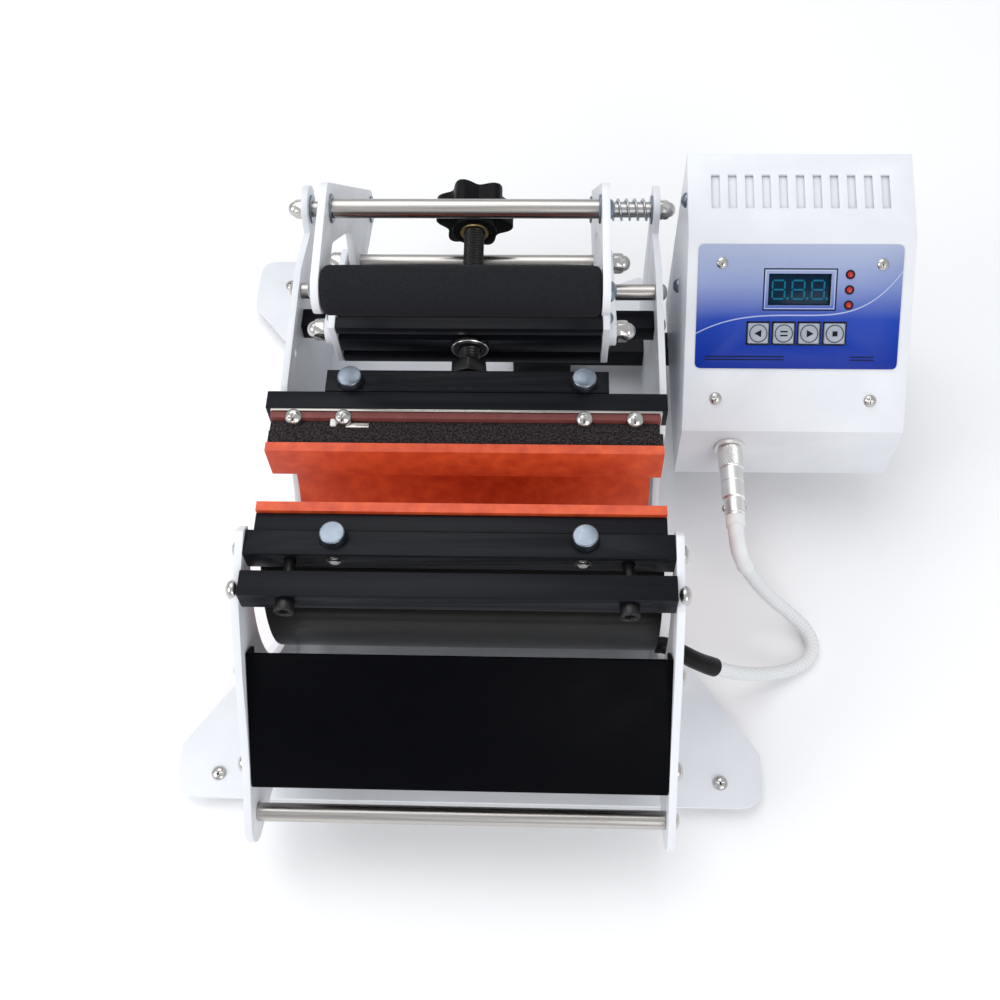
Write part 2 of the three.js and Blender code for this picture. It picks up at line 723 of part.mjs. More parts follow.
function addControlBox() {
  const outer = sheetX(new THREE.Shape(boxOutline(0, boxBottom)), boxLeft, boxRight);
  const innerShape = new THREE.Shape(boxOutline(boxSheet, boxBottom - 1));
  const inner = sheetX(innerShape, boxLeft + boxSheet, boxRight - boxSheet);
  const openings = faceOpenings(-6, 2).map((tool) =>
    tool.rotateX(faceAngle).translate(boxLeft, faceTop.y, faceTop.z),
  );
  const switchHole = block(8, 14 + 2 * fit, 20 + 2 * fit, boxRight, switchAt.y, switchAt.z);
  const socketHole = rodY(7 + fit, boxFront - 4, boxFront + 4).translate(socketAt.x, 0, socketAt.z);
  const { width: inletWidth, height: inletHeight } = inletSize;
  const inletHole = block(inletWidth + 2 * fit, 8, inletHeight + 2 * fit, inletAt.x, boxBack, inletAt.z);
  const tools = [inner, ...openings, ...ventSlots(), switchHole, socketHole, inletHole];
  add(press, "box_shell", cut(outer, ...tools), whiteCoat);
  const inset = boxSheet + fit;
  const floorFrom = [boxLeft + inset, boxFront + inset, boxBottom];
  const floor = span(floorFrom, [boxRight - inset, boxBack - inset, boxBottom + floorSheet]);
  add(press, "box_floor", floor, whiteCoat);
  const relayRight = boxRight - relayAt.fromRight;
  const relayLow = [relayRight - relaySize.width, relayAt.y, boxBottom + floorSheet];
  const relayHigh = [relayRight, relayAt.y + relaySize.depth, relayLow[2] + relaySize.height];
  add(press, "relay", span(relayLow, relayHigh), blackPlastic);
}

// Arm: a square bar from the middle of the base to the far side of the box, on a riser
function addArm() {
  const bar = span([20, armFront, 10], [boxRight - 9, armBack, armTop]);
  const riser = span([20, armFront, 0], [60, armBack, 11]);
  add(press, "box_arm", join(bar, riser), blackAnodised);
}

function addFace() {
  const frame = faceFrame();
  const { left, right, top, bottom } = label;
  const outline = [[right, -bottom], [right, -top], [left, -top], [left, -bottom]];
  const film = rounded(outline.map(([x, y]) => [x, y, label.corner]));
  const plate = sheetZ(shapeWithHoles(film), fit, fit + label.thickness);
  add(frame, "face_label", cut(plate, ...faceOpenings(0, 2)), labelBlue);
  const boardTop = -board.below;
  const boardFrom = [board.fromLeft, -board.bottom, boardTop - board.thickness];
  const boardSheet = span(boardFrom, [boxWidth - board.fromRight, -board.top, boardTop]);
  const glassFrom = [displayWindow.left - 2, -displayWindow.bottom - 2, boardTop];
  const glass = span(glassFrom, [displayWindow.right + 2, -displayWindow.top + 2, -boxSheet - fit]);
  add(frame, "display_board", join(boardSheet, glass), displayTeal);
  keyFromLeft.forEach((x, index) => {
    const half = keySize / 2;
    const cap = span([x - half, -keyDown - half, -4], [x + half, -keyDown + half, 2]);
    add(frame, "key_" + (index + 1), cap, keyWhite);
  });
}

const rockerTilt = THREE.MathUtils.degToRad(6);

function addSwitch() {
  const depth = 12;
  const bezel = block(2, 19, 25, boxRight + 1, 0, 0);
  const body = block(depth, 14, 20, boxRight + 1 - depth / 2, 0, 0);
  const pocket = block(10, 12.6, 18.6, boxRight - 2, 0, 0);
  const housing = cut(join(bezel, body), pocket);
  add(press, "switch_housing", housing, blackPlastic, 0, switchAt.y, switchAt.z);
  const half = 8.4;
  const outline = [[-4, -half + 1], [2.2, -half], [1.2, 0], [2.2, half], [-4, half - 1]];
  const shape = new THREE.Shape(outline.map(([x, z]) => new THREE.Vector2(x, z)));
  const rocker = new THREE.ExtrudeGeometry(shape, { depth: 11.8, bevelEnabled: false });
  rocker.translate(0, 0, -5.9).rotateX(Math.PI / 2);
  const mesh = add(press, "rocker", rocker, blackPlastic, boxRight, switchAt.y, switchAt.z);
  mesh.rotation.y = -rockerTilt;
}

function addInlet() {
  const { width, height, depth, flange: lip, wall } = inletSize;
  const middle = lip - depth / 2;
  const flange = block(width + 2 * lip, lip, height + 2 * lip, 0, lip / 2, 0);
  const body = block(width, depth, height, 0, middle, 0);
  const pocket = block(width - 2 * wall, depth, height - 2 * wall, 0, middle + 2 * wall, 0);
  const pin = () => block(2, 13, 4, 0, -7, 0);
  const pins = [pin().translate(-7, 0, 0), pin().translate(7, 0, 0), pin().translate(0, 0, 4)];
  const inlet = join(cut(join(flange, body), pocket), ...pins);
  add(press, "mains_inlet", inlet, blackPlastic, inletAt.x, boxBack, inletAt.z);
}

// Heater lead: a round plug in the box's front and a ribbed lead to the right end of the heater
const plugFront = -32;
const leadHeight = socketAt.z;
const leadPoints = [
  [socketAt.x, plugFront - fit, leadHeight],
  [socketAt.x, -42, leadHeight - 0.5],
  [socketAt.x + 2.5, -51, leadHeight - 8],
  [167.5, -56, 33],
  [181, -62, 15.5],
  [196, -69, 3],
  [205.5, -76, -3.2],
  [209.5, -85, -6],
  [206, -94.5, -6.6],
  [196, -101.5, -5.4],
  [182, -107, 0],
  [164, -112.5, 12],
  [146, -116, 28],
  [130, -117, 43],
  [119.5, -115.2, 51.5],
  [111.5, -113.4, 55],
  [wrapHalf + fit, -113.4, 55],
];

function addSocketAndPlug() {
  const flange = rodY(9.5, -2.5, 0, 24);
  const thread = rodY(7, -2, 12, 24);
  const spigot = rodY(6.4, -11, -2, 24);
  add(press, "lead_socket", join(flange, thread, spigot), zinc, socketAt.x, boxFront, socketAt.z);
  const profile = [
    [0, plugFront],
    [5.2, plugFront],
    [6.4, -12],
    [7, -11],
    [7, 3],
    [7.75, 4],
    [7.75, boxFront - 2.9],
    [6.7, boxFront - 2.9],
    [6.7, 6],
    [0, 6],
  ];
  const turned = new THREE.LatheGeometry(profile.map(([radius, y]) => new THREE.Vector2(radius, y)), 24);
  add(press, "lead_plug", turned, zinc, socketAt.x, 0, socketAt.z);
}

function addHeaterLead() {
  const points = leadPoints.map((point) => new THREE.Vector3(...point));
  const curve = new THREE.CatmullRomCurve3(points, false, "centripetal");
  const section = new THREE.Shape(arc({ y: 0, z: 0 }, leadRadius, 0, 324, 9));
  const steps = Math.round(curve.getLength() / (4 * leadRadius));
  console.log("heater lead: " + curve.getLength().toFixed(1) + " mm");
  const tube = new THREE.ExtrudeGeometry(section, { steps, extrudePath: curve });
  add(press, "heater_lead", tube, leadWhite);
}

addBase();
addFrame();
addFrontPanel();
addRails();
heaterHalf(press, "front", -1, pinchBottom - fit);
heaterHalf(press, "rear", 1, railTop);
addJaw();
addLever();
addLinks();
addPressureScrew();
addArm();
addControlBox();
addFace();
addSwitch();
addInlet();
addSocketAndPlug();
addHeaterLead();

// The origin is on the bench, at the middle of the part without its lead
const leadNames = ["heater_lead", "lead_plug"];
root.updateMatrixWorld(true);
const bounds = new THREE.Box3();
root.traverse((object) => {
  if (object.isMesh && !leadNames.includes(object.name)) bounds.expandByObject(object, true);
});
const middle = bounds.getCenter(new THREE.Vector3());
root.position.set(-middle.x, -middle.y, 0);
const group = new THREE.Group();
group.add(root);
console.log("origin at x " + middle.x.toFixed(3) + ", y " + middle.y.toFixed(3));

export default group;
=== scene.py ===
# A bench heat press for mugs: white steel plates, black aluminium bars, an orange heater wrapped round the
# bore, a hand lever behind it and a control box on the right.
import json
import math

import bmesh
import bpy
from mathutils import Matrix, Vector

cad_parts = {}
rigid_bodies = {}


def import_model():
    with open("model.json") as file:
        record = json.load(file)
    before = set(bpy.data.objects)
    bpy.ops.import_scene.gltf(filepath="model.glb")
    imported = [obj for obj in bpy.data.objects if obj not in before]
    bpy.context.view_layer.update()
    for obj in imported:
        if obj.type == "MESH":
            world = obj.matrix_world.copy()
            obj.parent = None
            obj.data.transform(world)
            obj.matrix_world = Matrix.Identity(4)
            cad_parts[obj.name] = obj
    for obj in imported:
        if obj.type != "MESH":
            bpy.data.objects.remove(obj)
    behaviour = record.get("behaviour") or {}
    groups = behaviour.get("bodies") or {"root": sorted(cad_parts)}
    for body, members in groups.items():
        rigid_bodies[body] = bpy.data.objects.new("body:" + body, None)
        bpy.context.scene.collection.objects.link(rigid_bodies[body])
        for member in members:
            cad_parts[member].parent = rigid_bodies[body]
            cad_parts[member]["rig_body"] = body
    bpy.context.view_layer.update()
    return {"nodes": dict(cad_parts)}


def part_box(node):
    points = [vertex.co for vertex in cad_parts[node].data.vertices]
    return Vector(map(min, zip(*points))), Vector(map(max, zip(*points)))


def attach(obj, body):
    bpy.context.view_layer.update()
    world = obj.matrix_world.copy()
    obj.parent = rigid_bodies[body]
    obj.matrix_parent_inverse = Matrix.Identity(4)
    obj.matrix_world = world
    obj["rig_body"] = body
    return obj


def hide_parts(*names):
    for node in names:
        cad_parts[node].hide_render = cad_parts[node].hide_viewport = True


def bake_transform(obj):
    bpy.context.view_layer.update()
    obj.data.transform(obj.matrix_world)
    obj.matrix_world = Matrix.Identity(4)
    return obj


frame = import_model()
nodes = frame["nodes"]

# The press's own origin lies midway between its side plates, on top of its base plate. Places from it are in
# millimetres, as on a shop drawing, and a place in the side view is (distance behind the origin, height).
PIVOT = (162.0, 113.5)
pivot_low, pivot_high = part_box("pivot_shaft")
press_origin = Vector((
    (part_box("side_plate_left")[0].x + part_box("side_plate_right")[1].x) / 2,
    (pivot_low.y + pivot_high.y) / 2 - PIVOT[0] / 1000,
    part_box("base_plate")[1].z,
))


def place(x, y, z):
    return press_origin + Vector((x, y, z)) / 1000


# The camera stands in front of the press and looks steeply down on it, so that every bar shows its top.
CAMERA_AT = (44.0, -384.5, 687.0)
CAMERA_DOWN = math.radians(60)
RIGHTWARD_IN_VIEW = Vector((0.9992, 0.0112, -0.0384)).normalized()

world_up = Vector((0, 0, 1))
level_axis = (world_up - RIGHTWARD_IN_VIEW * world_up.dot(RIGHTWARD_IN_VIEW)).normalized()
down_axis = level_axis.cross(RIGHTWARD_IN_VIEW)
backward_in_view = level_axis * math.cos(CAMERA_DOWN) - down_axis * math.sin(CAMERA_DOWN)
upward_in_view = -level_axis * math.sin(CAMERA_DOWN) - down_axis * math.cos(CAMERA_DOWN)
world_from_view = Matrix((RIGHTWARD_IN_VIEW, backward_in_view, upward_in_view))
camera_data = bpy.data.cameras.new("camera")
camera_data.lens = 43.2
camera_data.sensor_width = 36.0
camera = bpy.data.objects.new("camera", camera_data)
camera_turn = world_from_view @ Matrix.Diagonal((1, -1, -1))
camera.matrix_world = Matrix.Translation(place(*CAMERA_AT)) @ camera_turn.to_4x4()
bpy.context.scene.collection.objects.link(camera)
bpy.context.scene.camera = camera

# The bench is a plain pale sheet, lit by a wide lamp over the press, one at the left, one in front and a
# bright room. Its finish, like every other, is one procedural material: colours and roughness are set on the
# shader or on its own ramps, and the grain comes from one shared group of noise.
def add_node(tree, kind, inputs, operation=None):
    """A node. Each input, by name or number, gets a value or the socket or sockets that lead to it."""
    node = tree.nodes.new(kind)
    if operation:
        node.operation = operation
    for key, given in inputs.items():
        for source in given if isinstance(given, list) else [given]:
            if isinstance(source, bpy.types.NodeSocket):
                tree.links.new(source, node.inputs[key])
            else:
                node.inputs[key].default_value = source
    return node


def new_group(name, kind, inputs, output, output_kind):
    """A node group with named inputs and one output."""
    group = bpy.data.node_groups.new(name, kind)
    for input_name, input_kind in inputs.items():
        group.interface.new_socket(input_name, in_out="INPUT", socket_type="NodeSocket" + input_kind)
    group.interface.new_socket(output, in_out="OUTPUT", socket_type="NodeSocket" + output_kind)
    return group


def grain_group():
    inputs = {"Scale": "Float", "Stretch": "Vector", "Detail": "Float"}
    group = new_group("surface_grain", "ShaderNodeTree", inputs, "Mask", "Float")
    given = group.nodes.new("NodeGroupInput").outputs
    where = group.nodes.new("ShaderNodeTexCoord").outputs["Object"]
    stretched = add_node(group, "ShaderNodeVectorMath", {0: where, 1: given["Stretch"]}, "MULTIPLY")
    noise = add_node(group, "ShaderNodeTexNoise", {
        "Vector": stretched.outputs[0], "Scale": given["Scale"], "Detail": given["Detail"]})
    add_node(group, "NodeGroupOutput", {"Mask": noise.outputs["Fac"]})
    return group


surface_grain = grain_group()


class Finish:
    """A material in the making: a shader, and the noises that feed it."""

    def __init__(self, name, color, roughness, metallic=0.0, specular=0.5):
        self.material = bpy.data.materials.new(name)
        self.material.use_nodes = True
        self.material.diffuse_color = (*color, 1)
        self.tree = self.material.node_tree
        self.shader = self.tree.nodes["Principled BSDF"]
        self.shader.inputs["Base Color"].default_value = (*color, 1)
        self.shader.inputs["Roughness"].default_value = roughness
        self.shader.inputs["Metallic"].default_value = metallic
        self.shader.inputs["Specular IOR Level"].default_value = specular

    def grain(self, scale, stretch=(1, 1, 1), detail=3.0):
        node = self.tree.nodes.new("ShaderNodeGroup")
        node.node_tree = surface_grain
        node.inputs["Scale"].default_value = scale
        node.inputs["Stretch"].default_value = stretch
        node.inputs["Detail"].default_value = detail
        return node.outputs["Mask"]

    def ramp(self, mask, stops, target=None):
        """Colours or greys along a mask, led to one of the shader's inputs if one is named."""
        node = add_node(self.tree, "ShaderNodeValToRGB", {"Fac": mask})
        ramp = node.color_ramp
        while len(ramp.elements) < len(stops):
            ramp.elements.new(0.5)
        for element, (position, value) in zip(ramp.elements, stops):
            element.position = position
            color = value if isinstance(value, tuple) else (value, value, value)
            element.color = (*color, 1)
        if target:
            self.tree.links.new(node.outputs["Color"], self.shader.inputs[target])
        return node.outputs["Color"]

    def tint(self, mask, low, high, start=0.3, end=0.8):
        """The base colour goes from low to high while the mask goes from start to end."""
        self.ramp(mask, [(start, low), (end, high)], "Base Color")

    def rough(self, mask, low, high, end=0.8):
        """The roughness goes from low to high along the mask."""
        self.ramp(mask, [(0.3, low), (end, high)], "Roughness")

    def bump(self, height, strength, distance):
        node = add_node(self.tree, "ShaderNodeBump", {
            "Strength": strength, "Distance": distance, "Height": height})
        self.tree.links.new(node.outputs["Normal"], self.shader.inputs["Normal"])

    def worked_out(self, operation, *values):
        """One step of arithmetic in the material, on numbers or on other sockets."""
        return add_node(self.tree, "ShaderNodeMath", dict(enumerate(values)), operation).outputs[0]


BENCH_HALF = 4.0
bench_mesh = bpy.data.meshes.new("bench")
bench_corners = [(x * BENCH_HALF, y * BENCH_HALF, 0) for x, y in ((-1, -1), (1, -1), (1, 1), (-1, 1))]
bench_mesh.from_pydata(bench_corners, [], [(0, 1, 2, 3)])
bench = bpy.data.objects.new("bench", bench_mesh)
bpy.context.scene.collection.objects.link(bench)
bench_finish = Finish("bench_white", (0.94, 0.94, 0.95), 0.7)
bench_finish.bump(bench_finish.grain(90), 0.03, 0.001)
bench_mesh.materials.append(bench_finish.material)

room = bpy.data.worlds.new("room")
room.use_nodes = True
room.node_tree.nodes["Background"].inputs["Color"].default_value = (0.95, 0.975, 1.0, 1)
room.node_tree.nodes["Background"].inputs["Strength"].default_value = 0.66
bpy.context.scene.world = room
bpy.context.scene.view_settings.view_transform = "Standard"


def lamp(name, power, size, at, aim):
    data = bpy.data.lights.new(name, "AREA")
    data.energy = power
    data.size = size
    light = bpy.data.objects.new(name, data)
    direction = Vector(aim) - Vector(at)
    light.matrix_world = Matrix.Translation(at) @ direction.to_track_quat("-Z", "Y").to_matrix().to_4x4()
    bpy.context.scene.collection.objects.link(light)


lamp("lamp_over", 9.5, 1.3, (-0.3, 0.5, 1.5), (0, 0, 0.08))
lamp("lamp_left", 9, 0.9, (-1.3, -0.6, 1.0), (0, 0, 0.1))
lamp("lamp_front", 8, 1.0, (0.7, -1.4, 0.9), (0, 0, 0.1))

# Base plate: a 3 mm steel sheet with ears, white powder coat with a faint orange peel. Rubber feet are
# screwed on from above with pan screws on the ears.
powder = Finish("white_powder_coat", (0.75, 0.765, 0.80), 0.4)
powder.tint(powder.grain(35, detail=5), (0.73, 0.745, 0.785), (0.77, 0.785, 0.82), 0.35, 0.7)
powder.rough(powder.grain(160), 0.34, 0.48, 0.75)
powder.bump(powder.grain(1500, detail=2), 0.12, 0.0002)
rubber = Finish("foot_rubber", (0.02, 0.02, 0.021), 0.75)
rubber.rough(rubber.grain(220), 0.6, 0.85)
rubber.bump(rubber.grain(2600), 0.25, 0.0002)
SMOOTH_BELOW = math.radians(32)
BREAK_ABOVE = math.radians(28)
FLAT_WITHIN = math.radians(0.5)


def piece_from(name, mesh, finish, body, replaced=()):
    """A finished piece at the origin that rides on a body and may stand for some solids."""
    piece = bpy.data.objects.new(name, mesh)
    bpy.context.scene.collection.objects.link(piece)
    mesh.materials.clear()
    mesh.materials.append(finish.material)
    for polygon in mesh.polygons:
        polygon.use_smooth = True
    mesh.set_sharp_from_angle(angle=SMOOTH_BELOW)
    if replaced:
        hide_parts(*replaced)
    if body:
        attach(piece, body)
    return piece


def mesh_of(work, name, turn_outward=True):
    """The mesh that the work has built, with all of its faces turned outward unless they are already."""
    if turn_outward:
        bmesh.ops.recalc_face_normals(work, faces=work.faces)
    mesh = bpy.data.meshes.new(name)
    work.to_mesh(mesh)
    work.free()
    return mesh


def break_edges(work, edges, size, segments=2):
    bmesh.ops.bevel(
        work, geom=edges, offset=size / 1000, segments=segments, profile=0.5, affect="EDGES",
        clamp_overlap=True)


def broken_edges(name, size, finish, segments=2):
    """The solid of a node with its edges broken, as a deburred or moulded part has them."""
    work = bmesh.new()
    work.from_mesh(nodes[name].data)
    bmesh.ops.remove_doubles(work, verts=work.verts, dist=0.000002)
    bmesh.ops.dissolve_limit(work, angle_limit=FLAT_WITHIN, verts=work.verts, edges=work.edges)
    sharp = [edge for edge in work.edges if edge.is_manifold and edge.calc_face_angle() > BREAK_ABOVE]
    break_edges(work, sharp, size, segments)
    mesh = mesh_of(work, name + "_finished", turn_outward=False)
    return piece_from(name + "_finished", mesh, finish, nodes[name]["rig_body"], [name])


broken_edges("base_plate", 0.4, powder)
for corner in ("front_left", "front_right", "rear_left", "rear_right"):
    broken_edges("foot_" + corner, 1.2, rubber, segments=3)

# Screws: pan heads with a cross recess, bright nickel or zinc. A tree makes one head and sets it on marked
# points. The acorn nuts further down have a tree of the same make with another head.
bright = Finish("bright_screw", (0.55, 0.535, 0.515), 0.2, 1.0)
bright.rough(bright.grain(420), 0.16, 0.32, 0.75)
zinc = Finish("zinc_plate", (0.27, 0.32, 0.39), 0.3, 1.0)
zinc.tint(zinc.grain(160, detail=6), (0.2, 0.235, 0.285), (0.25, 0.285, 0.335), 0.3, 0.72)
zinc.rough(zinc.grain(400), 0.26, 0.38)
zinc.bump(zinc.grain(1800), 0.03, 0.0001)


def heads_tree(name, build_head):
    """A tree with one head on each point of its input, facing along the point's aim."""
    inputs = {"Geometry": "Geometry", "Head Radius": "Float", "Head Height": "Float", "Finish": "Material"}
    tree = new_group(name, "GeometryNodeTree", inputs, "Geometry", "Geometry")
    given = tree.nodes.new("NodeGroupInput").outputs
    head = build_head(tree, given["Head Radius"], given["Head Height"])
    aim = tree.nodes.new("GeometryNodeInputNamedAttribute")
    aim.data_type = "FLOAT_VECTOR"
    aim.inputs["Name"].default_value = "aim"
    turn = tree.nodes.new("FunctionNodeAlignRotationToVector")
    turn.axis = "Z"
    tree.links.new(aim.outputs["Attribute"], turn.inputs["Vector"])
    scatter = add_node(tree, "GeometryNodeInstanceOnPoints", {
        "Points": given["Geometry"], "Instance": head, "Rotation": turn.outputs["Rotation"]})
    real = add_node(tree, "GeometryNodeRealizeInstances", {"Geometry": scatter.outputs["Instances"]})
    paint = add_node(tree, "GeometryNodeSetMaterial", {
        "Geometry": real.outputs["Geometry"], "Material": given["Finish"]})
    add_node(tree, "NodeGroupOutput", {"Geometry": paint.outputs["Geometry"]})
    return tree


def ball(tree, segments, rings, radius):
    sphere = add_node(tree, "GeometryNodeMeshUVSphere", {
        "Segments": segments, "Rings": rings, "Radius": radius})
    return sphere.outputs["Mesh"]


def lifted(tree, geometry, by):
    offset = add_node(tree, "ShaderNodeCombineXYZ", {2: by}).outputs[0]
    moved = add_node(tree, "GeometryNodeTransform", {"Geometry": geometry, "Translation": offset})
    return moved.outputs["Geometry"]


def pan_head(tree, radius, height):
    """A flattened ball with two crossed bars cut out of its top."""
    share = add_node(tree, "ShaderNodeMath", {0: height, 1: radius}, "DIVIDE").outputs[0]
    squash = add_node(tree, "ShaderNodeCombineXYZ", {0: 1, 1: 1, 2: share}).outputs[0]
    dome = add_node(tree, "GeometryNodeTransform", {"Geometry": ball(tree, 24, 14, radius), "Scale": squash})
    long_side, short_side, deep = 1.1, 0.24, 0.45
    bars = []
    for wide, tall in ((long_side, short_side), (short_side, long_side)):
        size = add_node(tree, "ShaderNodeVectorMath", {0: (wide, tall, deep), "Scale": radius}, "SCALE")
        bar = add_node(tree, "GeometryNodeMeshCube", {"Size": size.outputs["Vector"]})
        bars.append(lifted(tree, bar.outputs["Mesh"], height))
    recess = add_node(tree, "GeometryNodeMeshBoolean", {
        "Mesh 1": dome.outputs["Geometry"], "Mesh 2": bars}, "DIFFERENCE")
    return recess.outputs["Mesh"]


pan_screws = heads_tree("pan_screws", pan_head)


def screws(name, points, radius, height, finish, body, tree=pan_screws):
    """Heads on the given places; each place comes with the direction that its head faces."""
    marks = bpy.data.meshes.new(name + "_marks")
    marks.from_pydata([tuple(at) for at, _ in points], [], [])
    aims = marks.attributes.new("aim", "FLOAT_VECTOR", "POINT")
    for index, (_, facing) in enumerate(points):
        aims.data[index].vector = facing
    holder = bpy.data.objects.new(name + "_marks", marks)
    bpy.context.scene.collection.objects.link(holder)
    modifier = holder.modifiers.new("heads", "NODES")
    modifier.node_group = tree
    values = {"Head Radius": radius / 1000, "Head Height": height / 1000, "Finish": finish.material}
    for item in tree.interface.items_tree:
        if item.in_out == "INPUT" and item.name in values:
            modifier[item.identifier] = values[item.name]
    bpy.context.view_layer.update()
    ready = holder.evaluated_get(bpy.context.evaluated_depsgraph_get())
    mesh = bpy.data.meshes.new_from_object(ready)
    bpy.data.objects.remove(holder)
    return piece_from(name, mesh, finish, body)


EAR_X, FRONT_EAR, REAR_EAR = 146.5, -175.5, 194.0
ears = [(-EAR_X, FRONT_EAR), (EAR_X, FRONT_EAR), (-EAR_X, REAR_EAR)]
screws("foot_screws", [(place(x, y, 0), (0, 0, 1)) for x, y in ears], 4.4, 2.6, bright, "frame")

# Side plates: 4 mm laser-cut steel. Every bar between them is held by a screw from outside, so each plate
# carries a row of bright heads: at the two ties, the rear cross bar, the two rails and the front panel.
PLATE_SHEET = 4.0
OUTER_HALF = (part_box("side_plate_right")[1].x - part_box("side_plate_left")[0].x) * 500
FRONT_TIE = (-210.0, 45.0)
REAR_TIE = (98.0, 109.0)
REAR_CROSS_BAR = (85, 93)
RAILS = ((-125, 144), (-102, 144))
PANEL_SIDES = ((-153.3, 107.6), (-191.7, 72.2))
for side, sign in (("left", -1), ("right", 1)):
    broken_edges("side_plate_" + side, 0.5, powder)
    held = (FRONT_TIE, REAR_TIE, REAR_CROSS_BAR, *RAILS, *PANEL_SIDES)
    heads = [(place(sign * OUTER_HALF, y, z), (sign, 0, 0)) for y, z in held]
    screws("plate_screws_" + side, heads, 5.2, 3.6, bright, "frame")

# Front panel: black painted sheet, satin with a fine texture. Its sides are folded back, and two screws
# through each side plate hold them.
panel = Finish("black_panel_paint", (0.0016, 0.0017, 0.0028), 0.42, specular=0.03)
panel.rough(panel.grain(60, detail=6), 0.34, 0.52)
panel.bump(panel.grain(2200, detail=2), 0.2, 0.0001)
broken_edges("front_panel", 0.8, panel)

# Square bars: extruded aluminium, black anodised, with drawing lines along their length. Each is cut to
# length and has its edges broken.
anodised = Finish("black_anodised", (0.006, 0.0065, 0.009), 0.36, specular=0.14)
drawn = anodised.grain(40, stretch=(0.4, 22, 22), detail=5)
anodised.tint(drawn, (0.003, 0.0034, 0.0055), (0.0055, 0.006, 0.0095), 0.3, 0.7)
anodised.rough(anodised.grain(75, stretch=(0.5, 14, 14)), 0.33, 0.42, 0.75)
anodised.bump(drawn, 0.02, 0.0001)
square_bars = (
    "front_rail", "back_rail", "pinch_bar", "rear_cross_bar", "jaw_front_bar", "jaw_back_bar", "box_arm")
for bar in square_bars:
    broken_edges(bar, 0.5, anodised)

# Rail studs: black oxide socket screws that cross the gap between the rails. Clamp bolts: zinc plated, with
# plain round heads, two on the front rails and two on the jaw.
oxide = Finish("black_oxide", (0.006, 0.006, 0.0065), 0.33, specular=0.4)
oxide.rough(oxide.grain(300), 0.26, 0.5)
oxide.bump(oxide.grain(1500), 0.1, 0.0001)
for side in ("left", "right"):
    broken_edges("rail_stud_" + side, 0.35, oxide)
    for bolt in ("pinch_bolt_", "jaw_bolt_"):
        broken_edges(bolt + side, 0.7, zinc, segments=3)

# Heater: an orange silicone pad that heats, a coarse foam jacket and a thin dark steel shell outside it. They
# wrap the bore as one band, open at the top. The front half is fixed, the rear half moves with the jaw, and
# the bottom, which bends in use, is one piece between them that rides on neither.
BORE_Y, BORE_HEIGHT = -62.5, 82.0
WRAP_HALF = 105.9
RAIL_TOP = 152.15
PINCH_BOTTOM = 135.65

silicone = Finish("orange_silicone", (0.76, 0.075, 0.014), 0.5)
silicone.tint(silicone.grain(130, detail=6), (0.53, 0.05, 0.012), (0.72, 0.1, 0.024), 0.3, 0.7)
silicone.rough(silicone.grain(320), 0.42, 0.6)
silicone.bump(silicone.grain(900, detail=5), 0.25, 0.0002)
silicone.shader.inputs["Subsurface Weight"].default_value = 0.05
silicone.shader.inputs["Subsurface Radius"].default_value = (0.004, 0.001, 0.0005)

foam = Finish("coarse_foam", (0.03, 0.024, 0.026), 0.95, specular=0.2)
foam.tint(foam.grain(900, detail=8), (0.006, 0.005, 0.005), (0.05, 0.039, 0.043), 0.4, 0.62)
foam.bump(foam.grain(950, detail=8), 0.9, 0.0009)

shell_steel = Finish("heater_shell_steel", (0.012, 0.011, 0.010), 0.2, specular=0.2)
shell_steel.tint(shell_steel.grain(14, detail=6), (0.008, 0.0075, 0.007), (0.018, 0.0165, 0.015), 0.3, 0.75)
shell_steel.rough(shell_steel.grain(90, stretch=(0.3, 8, 8)), 0.14, 0.28)


def layer_path(radius, sign, neck, top):
    """A line of a layer on one side, from the bore's middle height up the curve to its neck, which stands at
    that distance from the bore's middle. A low top ends it on the curve."""
    end = min(math.acos(neck / radius), math.asin(min((top - BORE_HEIGHT) / radius, 1)))
    steps = 28
    line = [
        (sign * radius * math.cos(end * step / steps), BORE_HEIGHT + radius * math.sin(end * step / steps))
        for step in range(steps + 1)
    ]
    if top > line[-1][1] + 0.5:
        line.append((sign * neck, top))
    return line


def lower_path(radius):
    steps = 64
    return [
        (-radius * math.cos(math.pi * step / steps), BORE_HEIGHT - radius * math.sin(math.pi * step / steps))
        for step in range(steps + 1)
    ]


def sheet_band(inner_line, outer_line, half):
    """A closed band between two lines of the side view, which runs across the press."""
    columns = 24
    outline = inner_line + outer_line[::-1]
    size = len(outline)
    work = bmesh.new()
    rings = []
    for column in range(columns + 1):
        x = -half + 2 * half * column / columns
        rings.append([work.verts.new(place(x, BORE_Y + y, z)) for y, z in outline])
    for near, far in zip(rings, rings[1:]):
        for index in range(size):
            after = (index + 1) % size
            work.faces.new((near[index], near[after], far[after], far[index]))
    for ring in (rings[0], rings[-1]):
        for index in range(size // 2 - 1):
            work.faces.new((ring[index], ring[index + 1], ring[size - 2 - index], ring[size - 1 - index]))
    return mesh_of(work, "band")


